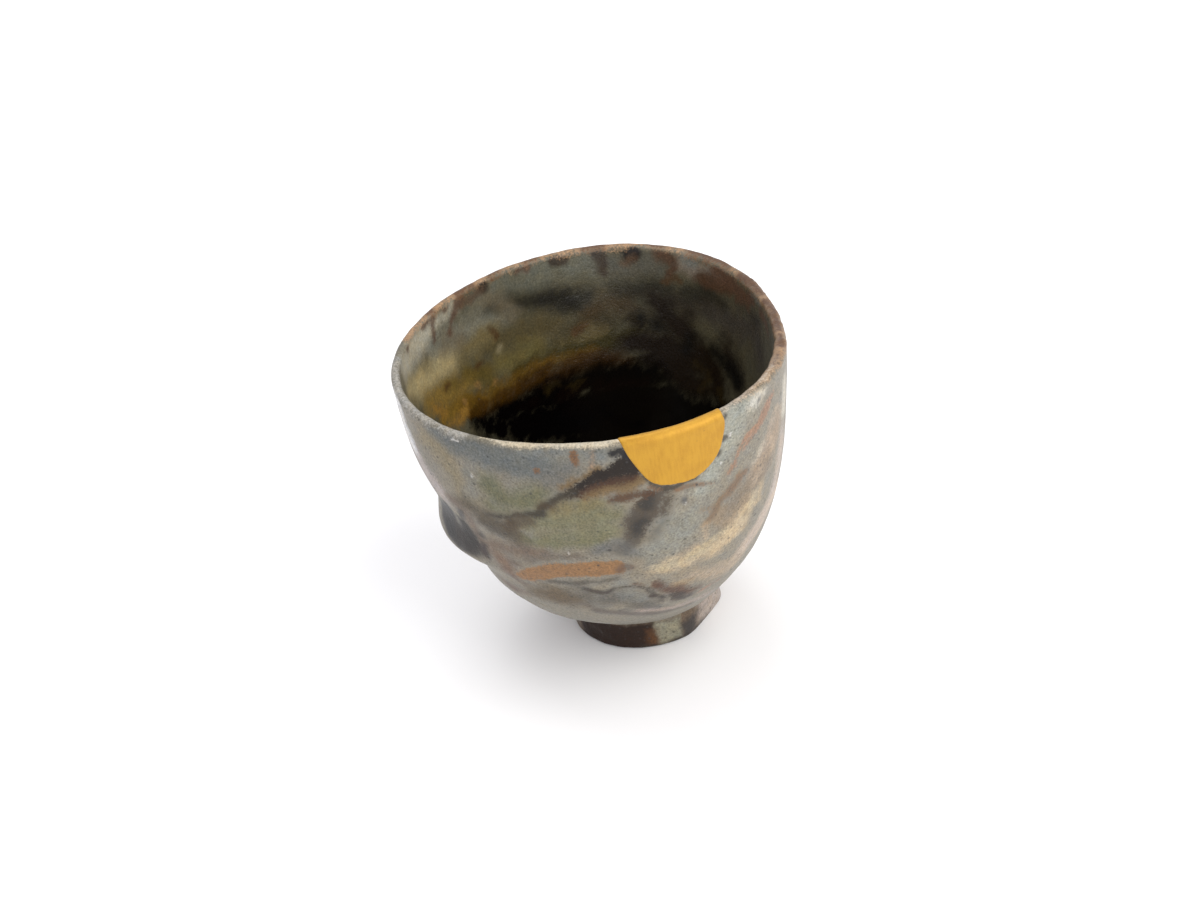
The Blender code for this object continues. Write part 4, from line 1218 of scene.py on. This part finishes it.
    def surface(self, sheet: NodeSheet, grain: bpy.types.Node,
                dry: object) -> bpy.types.NodeSocket:
        """Return the bumped normal of the dry ash and of the smoother glaze."""
        height = sheet.maths("ADD", sheet.maths("MULTIPLY", grain.outputs["Fine"], 0.45),
                             sheet.maths("MULTIPLY", grain.outputs["Mixed"], 0.7))
        pitted = sheet.maths("SUBTRACT", height, grain.outputs["Specks"])
        smooth = sheet.maths("ADD", sheet.maths("MULTIPLY", dry, 0.85), 0.15)
        bump = sheet.add("ShaderNodeBump")
        sheet.feed(bump.inputs["Strength"], 0.5)
        sheet.feed(bump.inputs["Distance"], self.bump_height)
        sheet.feed(bump.inputs["Height"], sheet.maths("MULTIPLY", pitted, smooth))
        return bump.outputs["Normal"]


@dataclass(frozen=True)
class GoldFinish:
    """Gold powder on lacquer, brushed on in fine upright strokes."""

    name: str = "gold_powder"
    colour: tuple = (218, 165, 50)
    shadow: tuple = (200, 146, 40)
    pinhole_colour: tuple = (0.16, 0.09, 0.02, 1.0)
    gain: float = 0.70
    metallic: float = 0.45
    roughness: float = 0.50
    stroke_width: float = 0.42 * MM
    stroke_squeeze: float = 0.12
    powder_size: float = 0.22 * MM
    swell_size: float = 4.0 * MM
    pinhole_spacing: float = 1.6 * MM
    bump_height: float = 0.03 * MM

    def build(self) -> bpy.types.Material:
        """Return the material."""
        material = bpy.data.materials.new(self.name)
        material.use_nodes = True
        sheet = NodeSheet(material.node_tree)
        place = sheet.add("ShaderNodeTexCoord").outputs["Object"]
        stretched = sheet.add("ShaderNodeMapping")
        sheet.feed(stretched.inputs["Vector"], place)
        stretched.inputs["Scale"].default_value = (1.0, 1.0, self.stroke_squeeze)
        strokes = sheet.noise(stretched.outputs["Vector"], self.stroke_width, 3.0, 0.6)
        powder = sheet.noise(place, self.powder_size, 2.0, 0.6)
        swells = sheet.noise(place, self.swell_size, 3.0)
        tone = sheet.maths("ADD", sheet.maths("MULTIPLY", strokes, 0.35),
                           sheet.maths("ADD", sheet.maths("MULTIPLY", powder, 0.35),
                                       sheet.maths("MULTIPLY", swells, 0.3)))
        colour = sheet.mix(sheet.ramp(tone, 0.34, 0.60), daylight(self.shadow, self.gain),
                           daylight(self.colour, self.gain))
        pinholes = FinishGroups.dots(sheet, place, self.pinhole_spacing, 0.02, 0.13)
        colour = sheet.mix(sheet.maths("MULTIPLY", pinholes, 0.45), colour, self.pinhole_colour)
        shader = sheet.add("ShaderNodeBsdfPrincipled")
        sheet.feed(shader.inputs["Base Color"], colour)
        sheet.feed(shader.inputs["Metallic"], self.metallic)
        sheet.feed(shader.inputs["Roughness"],
                   sheet.ramp(powder, 0.3, 0.7, self.roughness - 0.06, self.roughness + 0.08))
        bump = sheet.add("ShaderNodeBump")
        sheet.feed(bump.inputs["Strength"], 0.3)
        sheet.feed(bump.inputs["Distance"], self.bump_height)
        sheet.feed(bump.inputs["Height"], tone)
        sheet.feed(shader.inputs["Normal"], bump.outputs["Normal"])
        output = sheet.add("ShaderNodeOutputMaterial")
        sheet.feed(output.inputs["Surface"], shader.outputs["BSDF"])
        return material


@dataclass(frozen=True)
class PlainFinish:
    """An even, matt finish for the studio's floor."""

    name: str
    colour: tuple
    roughness: float

    def build(self) -> bpy.types.Material:
        """Return the material."""
        material = bpy.data.materials.new(self.name)
        material.use_nodes = True
        shader = material.node_tree.nodes["Principled BSDF"]
        shader.inputs["Base Color"].default_value = (*self.colour, 1.0)
        shader.inputs["Roughness"].default_value = self.roughness
        shader.inputs["Specular IOR Level"].default_value = 0.0
        return material


# The surface's small unevenness, shared by the clay and the gold on it


@dataclass(frozen=True)
class HandTouch:
    """How the potter's hands and the fire left the wall uneven.

    Each groove is its height, its depth and its half width, in millimetres. A ridge has a depth
    below zero.
    """

    swell: float = 0.16 * MM
    swell_size: float = 15.0 * MM
    dimple: float = 0.05 * MM
    dimple_size: float = 3.2 * MM
    lip_bump: float = 0.26 * MM
    lip_bump_size: float = 2.4 * MM
    lip_reach: float = 1.6 * MM
    rough_lip_azimuth: float = math.radians(0.0)
    rough_lip_half_width: float = math.radians(42.0)
    foot_bump: float = 0.16 * MM
    foot_bump_size: float = 2.6 * MM
    grooves: tuple = ((7.5, 0.30, 0.45), (9.3, -0.16, 0.8), (11.2, 0.10, 0.5), (14.0, 0.08, 0.6))

    def relief(self, points: np.ndarray) -> np.ndarray:
        """Return how far each point of the smooth form moves outwards."""
        slow = ripple(points, self.swell_size, 2, 3.1)
        quick = ripple(points, self.dimple_size, 3, 7.9)
        return self.swell * slow + self.dimple * quick

    def lip_and_foot(self, points: np.ndarray, azimuth: np.ndarray, height: np.ndarray,
                     sides: np.ndarray) -> np.ndarray:
        """Return the extra unevenness of the ashy lip, the trimmed belly and the foot ring.

        Args:
            points: the smooth form's points.
            azimuth: their directions round the turning axis.
            height: their heights on the turned form.
            sides: their sides of the wall.

        Returns:
            How far each point moves outwards.
        """
        from_crown = (FORM.height - height) / self.lip_reach
        rough = np.exp(-(turn_between(azimuth, self.rough_lip_azimuth)
                         / self.rough_lip_half_width) ** 4)
        lip = self.lip_bump * (0.22 + 0.78 * rough) * np.exp(-from_crown**2)
        relief = lip * ripple(points, self.lip_bump_size, 3, 13.7)
        in_foot = (height < FORM.foot_height) & (sides < 0.5)
        foot = self.foot_bump * np.clip(height / MM, 0.0, 1.0)
        relief += np.where(in_foot, foot * ripple(points, self.foot_bump_size, 4, 21.3), 0.0)
        for place, depth, half_width in self.grooves:
            groove = bell((height / MM) - place, half_width) * (1.0 - sides)
            relief -= depth * MM * groove
        return relief


# The break and its filling


@dataclass(frozen=True)
class BreakForm:
    """The broken place in the rim, in its own plane: across the wall and down from the rim."""

    width: float = 0.0215
    depth: float = 0.0122
    azimuth: float = math.radians(-74.3)
    across: tuple = (-0.458, -0.395, -0.245, -0.028, 0.192, 0.392, 0.492, 0.480)
    down: tuple = (0.00, 0.36, 0.85, 1.00, 0.98, 0.74, 0.28, 0.00)
    overlap: float = 0.45 * MM

    def origin(self) -> np.ndarray:
        """Return the point on the rim that the break is measured from."""
        values = (FORM.rim_radius, self.azimuth, FORM.height, 0.0)
        return FORM.formed(*[np.array([value]) for value in values])[0]

    def along_rim(self) -> np.ndarray:
        """Return the direction across the break, level along the rim."""
        return np.array([-math.sin(self.azimuth), math.cos(self.azimuth), 0.0])

    def outward(self) -> np.ndarray:
        """Return the direction in which the break faces."""
        return np.array([math.cos(self.azimuth), math.sin(self.azimuth), 0.0])

    def edge(self, count: int) -> np.ndarray:
        """Return the break's outline from rim to rim as even steps across and down."""
        stations = tuple(range(len(self.across)))
        fine = np.linspace(0, stations[-1], 400)
        line = np.stack([
            self.width * smooth_curve(stations, self.across, fine),
            self.depth * smooth_curve(stations, self.down, fine),
        ], axis=-1)
        steps = np.linalg.norm(np.diff(line, axis=0), axis=1)
        length = np.concatenate([[0.0], np.cumsum(steps)])
        even = np.linspace(0, length[-1], count)
        return np.stack([np.interp(even, length, line[:, axis]) for axis in (0, 1)], axis=-1)

    def edge_on_wall(self, count: int) -> np.ndarray:
        """Return the outline on the outer wall, across the break and along the profile."""
        edge = self.edge(count)
        wanted = self.origin()[2] - edge[:, 1]
        low = np.full(count, -2.0 * self.depth)
        high = np.zeros(count)
        for _ in range(24):
            middle = (low + high) / 2
            below = self.wall_points(edge[:, 0], middle)[:, 2] < wanted
            low = np.where(below, middle, low)
            high = np.where(below, high, middle)
        return np.stack([edge[:, 0], (low + high) / 2], axis=-1)

    def wall_points(self, across: np.ndarray, along: np.ndarray) -> np.ndarray:
        """Return points of the wall at distances across the break and along the profile."""
        origin = self.origin()
        azimuth = self.azimuth + across / FORM.rim_radius
        for _ in range(8):
            points = FORM.wall_at(azimuth, along)
            miss = across - (points - origin) @ self.along_rim()
            azimuth = azimuth + miss / FORM.rim_radius
        return points

    def wall_normals(self, across: np.ndarray, along: np.ndarray) -> np.ndarray:
        """Return the outward directions of the wall at the same distances."""
        small = 0.05 * MM
        sideways = self.wall_points(across + small, along) - self.wall_points(across - small, along)
        onwards = self.wall_points(across, along + small) - self.wall_points(across, along - small)
        normal = np.cross(sideways, onwards)
        return normal / np.linalg.norm(normal, axis=1, keepdims=True)


BREAK = BreakForm()


@dataclass
class CupBody:
    """The clay of the cup, one fired piece."""

    name: str = "teacup_clay"
    turns: int = 360
    wall_steps: int = 88
    lip_steps: int = 12
    floor_steps: int = 10
    foot_step: float = 0.45 * MM
    cutter_reach: float = 9.0 * MM
    crease: float = math.radians(50)
    touch: HandTouch = field(default_factory=HandTouch)

    def profile(self) -> np.ndarray:
        """Return the turned profile, from the hollow's middle over the lip to the recess.

        Returns:
            Rows of radius, height and side.
        """
        quarter = math.pi / 2 * FORM.lip_wall / 2
        floor_height = FORM.recess + FORM.floor
        reach = FORM.wall_top() - FORM.foot_height
        inner_end = quarter + reach * (1.0 - self.floor_joint())
        lip = np.linspace(quarter, -quarter, self.lip_steps + 1)
        inner = np.linspace(inner_end, quarter, self.wall_steps, endpoint=False)
        outer_share = np.linspace(0.0, 1.0, self.wall_steps + 21)[1:] ** 1.15
        outer = -quarter - reach * outer_share
        wall = FORM.over_the_lip(np.concatenate([inner, lip, outer]))
        joint, beyond = wall[0], wall[1]
        slope = (beyond[1] - joint[1]) / (beyond[0] - joint[0])
        power = slope * joint[0] / (joint[1] - floor_height)
        radius = joint[0] * np.arange(self.floor_steps) / self.floor_steps
        floor = np.stack([
            radius,
            floor_height + (joint[1] - floor_height) * (radius / joint[0]) ** power,
            np.ones(self.floor_steps),
        ], axis=-1)
        return np.concatenate([floor, wall, self.foot_profile()])

    @staticmethod
    def floor_joint() -> float:
        """Return the share of the belly's height where the hollow's wall turns into its floor."""
        clear = FORM.recess + FORM.floor + FORM.base_wall / 2
        shares = np.arange(0.0, 0.5, 0.005)
        return float(shares[np.argmax(FORM.inner_wall(shares)[:, 1] >= clear)])

    def foot_profile(self) -> np.ndarray:
        """Return the foot ring's profile, from under the belly to the middle of its recess."""
        inner = FORM.foot_radius - FORM.ring_width
        corners = np.array([
            (FORM.foot_radius, FORM.foot_height),
            (FORM.foot_radius, FORM.edge_bevel),
            (FORM.foot_radius - FORM.edge_bevel, 0.0),
            (inner + FORM.edge_bevel, 0.0),
            (inner, FORM.edge_bevel),
            (inner - FORM.recess / 4, FORM.recess),
            (0.0, FORM.recess),
        ])
        points = []
        for start, end in zip(corners[:-1], corners[1:]):
            steps = max(1, int(round(float(np.linalg.norm(end - start)) / self.foot_step)))
            shares = np.arange(1, steps + 1)[:, None] / steps
            points.append(start + (end - start) * shares)
        line = np.concatenate(points)
        return np.concatenate([line, np.zeros((len(line), 1))], axis=1)

    def build(self, finish: ClayFinish, groups: FinishGroups) -> bpy.types.Object:
        """Turn, form, cut and dress the clay.

        Args:
            finish: the clay's finish.
            groups: the shared effects.

        Returns:
            The finished piece.
        """
        profile = self.profile()
        piece = Bench.drawn_line(self.name, profile)
        Bench.turn(piece, self.turns)
        turned = Bench.corners(piece)
        radius = np.hypot(turned[:, 0], turned[:, 1])
        azimuth = np.arctan2(turned[:, 1], turned[:, 0])
        sides = self.sides(radius, turned[:, 2], profile)
        smooth = FORM.formed(radius, azimuth, turned[:, 2], sides)
        Bench.move_corners(piece, smooth)
        normals = Bench.normals(piece)
        on_table = smooth[:, 2] < 0.2 * MM
        relief = self.touch.relief(smooth)
        relief += self.touch.lip_and_foot(smooth, azimuth, turned[:, 2], sides)
        relief = np.where(on_table, 0.0, relief)
        Bench.move_corners(piece, smooth + normals * relief[:, None])
        Bench.write_mask(piece, "inside", sides)
        wandering = self.wandering(smooth, normals)
        for mark in MARKS:
            Bench.write_mask(piece, mark.name, mark.depth(wandering, sides))
        self.cut_break(piece)
        Bench.pick(piece)
        bpy.ops.object.shade_smooth_by_angle(angle=self.crease)
        piece.data.materials.append(finish.build(groups))
        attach(piece, "root")
        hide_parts("cup_body")
        return piece

    @staticmethod
    def wandering(points: np.ndarray, normals: np.ndarray) -> np.ndarray:
        """Return the points strayed a little along the wall, so that marks there meander."""
        stray = np.stack([
            0.7 * MM * ripple(points, 6.0 * MM, 1, seed) + 0.35 * MM * ripple(points, 2.2 * MM, 2, seed)
            for seed in (31.7, 43.1, 57.9)
        ], axis=-1)
        off_wall = np.sum(stray * normals, axis=1, keepdims=True)
        return points + stray - normals * off_wall

    @staticmethod
    def sides(radius: np.ndarray, height: np.ndarray, profile: np.ndarray) -> np.ndarray:
        """Return each turned corner's side of the wall, read from the nearest profile point."""
        nearest = np.empty(len(radius), dtype=int)
        for start in range(0, len(radius), 8000):
            rows = slice(start, start + 8000)
            gap = (radius[rows, None] - profile[:, 0]) ** 2 + (height[rows, None] - profile[:, 1]) ** 2
            nearest[rows] = np.argmin(gap, axis=1)
        return profile[nearest, 2]

    def cut_break(self, piece: bpy.types.Object) -> None:
        """Cut the broken place out of the rim, a little inside the gold's edge."""
        edge = BREAK.edge(80)
        middle = np.array([0.0, BREAK.depth * 0.3])
        inward = middle - edge
        inward /= np.linalg.norm(inward, axis=1, keepdims=True)
        edge = edge + inward * BREAK.overlap
        above = np.array([[edge[0, 0], -self.cutter_reach / 2], [edge[-1, 0], -self.cutter_reach / 2]])
        outline = np.concatenate([above[:1], edge, above[1:]])
        Bench.clear()
        bpy.ops.mesh.primitive_circle_add(vertices=len(outline), radius=MM)
        cutter = bpy.context.object
        flat = (BREAK.origin() + outline[:, :1] * BREAK.along_rim()
                - outline[:, 1:] * np.array([0.0, 0.0, 1.0]))
        Bench.move_corners(cutter, flat - BREAK.outward() * self.cutter_reach)
        bpy.ops.object.mode_set(mode="EDIT")
        bpy.ops.mesh.select_all(action="SELECT")
        bpy.ops.mesh.edge_face_add()
        push = tuple(float(part) for part in BREAK.outward() * 2 * self.cutter_reach)
        bpy.ops.mesh.extrude_region_move(TRANSFORM_OT_translate={"value": push})
        bpy.ops.mesh.select_all(action="SELECT")
        bpy.ops.mesh.normals_make_consistent(inside=False)
        bpy.ops.object.mode_set(mode="OBJECT")
        cut = piece.modifiers.new("break", "BOOLEAN")
        cut.operation = "DIFFERENCE"
        cut.solver = "EXACT"
        cut.object = cutter
        Bench.pick(piece)
        bpy.ops.object.modifier_apply(modifier=cut.name)
        bpy.data.objects.remove(cutter, do_unlink=True)


@dataclass
class GoldFilling:
    """The gold lacquer that fills the break through the whole wall and laps onto the clay."""

    name: str = "gold_filling"
    edge_points: int = 560
    rings: int = 46
    proud: float = 0.24 * MM
    rounding: float = 0.45 * MM
    jag: float = 0.10 * MM
    crease: float = math.radians(60)
    touch: HandTouch = field(default_factory=HandTouch)

    def outline(self) -> np.ndarray:
        """Return the filling's edge as distances across the break and along the profile."""
        outside = BREAK.edge_on_wall(self.edge_points // 2)
        inside = outside[::-1] * (1.0, -1.0)
        return self.jagged(np.concatenate([outside, inside]))

    def jagged(self, line: np.ndarray) -> np.ndarray:
        """Push the edge in and out a little, most along its lowest stretch."""
        along = np.roll(line, -1, axis=0) - np.roll(line, 1, axis=0)
        outward = np.stack([-along[:, 1], along[:, 0]], axis=-1)
        outward /= np.linalg.norm(outward, axis=1, keepdims=True)
        low = np.clip(np.abs(line[:, 1]) / BREAK.depth - 0.45, 0.0, 0.6) / 0.6
        flat = np.concatenate([line, np.zeros((len(line), 1))], axis=1)
        push = ripple(flat, 0.9 * MM, 2, 5.3) * (0.25 + low)
        return line + outward * (push * self.jag)[:, None]

    def skin(self, spread: np.ndarray, lift: np.ndarray, line: np.ndarray) -> np.ndarray:
        """Return a ring of the skin.

        Args:
            spread: each point's share of the way from the middle to the edge.
            lift: how far each point stands off the clay.
            line: the edge.

        Returns:
            The ring's points.
        """
        flat = line * spread[:, None]
        points = BREAK.wall_points(flat[:, 0], flat[:, 1])
        normals = BREAK.wall_normals(flat[:, 0], flat[:, 1])
        return points + normals * (lift + self.touch.relief(points))[:, None]

    def build(self, finish: GoldFinish) -> bpy.types.Object:
        """Build and dress the filling.

        Args:
            finish: the gold's finish.

        Returns:
            The finished piece.
        """
        line = self.outline()
        reach = np.linalg.norm(line, axis=1)
        shares = 1.0 - (1.0 - np.linspace(0.0, 1.0, self.rings + 1)[1:]) ** 1.7
        form = bmesh.new()
        middle = self.skin(np.zeros(1), np.array([self.proud]), line[:1])[0]
        previous = [form.verts.new(middle)]
        for share in shares:
            gap = (1.0 - share) * reach
            rise = np.clip(gap / self.rounding, 0.0, 1.0)
            lift = self.proud * np.sqrt(1.0 - (1.0 - rise) ** 2)
            ring = [form.verts.new(point) for point in self.skin(np.full(len(line), share), lift, line)]
            self.join(form, previous, ring)
            previous = ring
        tuck = 1.0 - (BREAK.overlap + 0.3 * MM) / reach
        under = [form.verts.new(point) for point in
                 self.skin(tuck, np.full(len(line), 0.01 * MM), line)]
        self.join(form, previous, under)
        self.close_through_wall(form, under)
        mesh = bpy.data.meshes.new(self.name)
        form.to_mesh(mesh)
        form.free()
        piece = bpy.data.objects.new(self.name, mesh)
        bpy.context.scene.collection.objects.link(piece)
        Bench.pick(piece)
        bpy.ops.object.mode_set(mode="EDIT")
        bpy.ops.mesh.select_all(action="SELECT")
        bpy.ops.mesh.normals_make_consistent(inside=False)
        bpy.ops.object.mode_set(mode="OBJECT")
        bpy.ops.object.shade_smooth_by_angle(angle=self.crease)
        mesh.materials.append(finish.build())
        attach(piece, "root")
        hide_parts("gold_lacquer_fill")
        return piece

    @staticmethod
    def join(form: bmesh.types.BMesh, inner: list, outer: list) -> None:
        """Fill the band between two rings, or between the middle point and the first ring."""
        count = len(outer)
        for index in range(count):
            following = (index + 1) % count
            if len(inner) == 1:
                form.faces.new((inner[0], outer[index], outer[following]))
            else:
                form.faces.new((inner[index], outer[index], outer[following], inner[following]))

    @staticmethod
    def close_through_wall(form: bmesh.types.BMesh, ring: list) -> None:
        """Close the filling's side through the wall, from its outer edge to its inner edge."""
        count = len(ring)
        start = count - 4
        for step in range(count // 2 - 1):
            near = (start + step) % count
            far = (start - 1 - step) % count
            form.faces.new((ring[near], ring[far], ring[far - 1], ring[(near + 1) % count]))


# The studio


@dataclass(frozen=True)
class SoftLight:
    """One large, even light, aimed at the cup's middle."""

    name: str
    place: tuple
    size: tuple
    power: float
    colour: tuple = (1.0, 1.0, 1.0)

    def build(self, target: Vector) -> bpy.types.Object:
        """Hang the light and aim it."""
        lamp = bpy.data.lights.new(self.name, "AREA")
        lamp.shape = "RECTANGLE"
        lamp.size, lamp.size_y = self.size
        lamp.energy = self.power
        lamp.color = self.colour
        light = bpy.data.objects.new(self.name, lamp)
        bpy.context.scene.collection.objects.link(light)
        light.location = Vector(self.place)
        light.rotation_euler = (target - light.location).to_track_quat("-Z", "Y").to_euler()
        return light


@dataclass
class Studio:
    """The pale floor, the soft light all round and the camera at the photo's viewing angle."""

    floor_size: float = 6.0
    floor_colour: tuple = (0.93, 0.93, 0.93)
    floor_roughness: float = 0.9
    surround: float = 0.79
    surround_colour: tuple = (0.968, 0.958, 1.0)
    lights: tuple = (
        SoftLight("key_from_right_front", (0.62, -0.48, 0.78), (1.0, 1.0), 7.8, (1.0, 0.985, 0.955)),
        SoftLight("glow_from_above", (-0.10, 0.30, 0.95), (0.7, 0.5), 3.5),
        SoftLight("low_fill_in_front", (0.28, -0.80, 0.34), (0.9, 0.5), 2.4),
    )
    target: Vector = Vector((-0.00078, 0.00008, 0.04113))
    distance: float = 0.670
    elevation: float = math.radians(33.0)
    roll: float = math.radians(9.5)
    lens: float = 100.0
    sensor: float = 36.0
    nearest: float = 0.01

    def build(self) -> None:
        """Lay the floor, hang the lights and set up the camera."""
        self.lay_floor()
        self.light_surround()
        for light in self.lights:
            light.build(self.target)
        self.set_camera()
        view = bpy.context.scene.view_settings
        view.view_transform = "Standard"
        view.look = "None"

    def lay_floor(self) -> None:
        """Lay the plain pale floor under the cup."""
        Bench.clear()
        bpy.ops.mesh.primitive_plane_add(size=self.floor_size, location=(0.0, 0.0, 0.0))
        floor = bpy.context.object
        floor.name = "studio_floor"
        floor.data.materials.append(self.floor_finish())

    def floor_finish(self) -> bpy.types.Material:
        """Return the floor's finish."""
        return PlainFinish("pale_floor", self.floor_colour, self.floor_roughness).build()

    def light_surround(self) -> None:
        """Fill the room with even, faintly cool light."""
        world = bpy.data.worlds.new("studio_surround")
        bpy.context.scene.world = world
        world.use_nodes = True
        background = world.node_tree.nodes["Background"]
        background.inputs["Color"].default_value = (*self.surround_colour, 1.0)
        background.inputs["Strength"].default_value = self.surround

    def set_camera(self) -> None:
        """Place the camera at the photo's height, direction and tilt."""
        lens = bpy.data.cameras.new("viewing_camera")
        lens.lens = self.lens
        lens.sensor_width = self.sensor
        lens.sensor_fit = "HORIZONTAL"
        lens.clip_start = self.nearest
        camera = bpy.data.objects.new("viewing_camera", lens)
        bpy.context.scene.collection.objects.link(camera)
        back = Vector((0.0, -math.cos(self.elevation), math.sin(self.elevation)))
        up = Vector((0.0, math.sin(self.elevation), math.cos(self.elevation)))
        right = Vector((1.0, 0.0, 0.0))
        rolled_right = right * math.cos(self.roll) - up * math.sin(self.roll)
        rolled_up = right * math.sin(self.roll) + up * math.cos(self.roll)
        turned = Matrix((rolled_right, rolled_up, back)).transposed().to_4x4()
        camera.matrix_world = Matrix.Translation(self.target + back * self.distance) @ turned
        bpy.context.scene.camera = camera


def main() -> None:
    """Build every piece and report it."""
    logging.basicConfig(level=logging.INFO, format="%(name)s: %(message)s", stream=sys.stdout)
    groups = FinishGroups()
    Studio().build()
    for piece in (CupBody().build(ClayFinish(), groups), GoldFilling().build(GoldFinish())):
        LOG.info("%s has %d corners and %d faces", piece.name, len(piece.data.vertices),
                 len(piece.data.polygons))


if __name__ == "__main__":
    main()
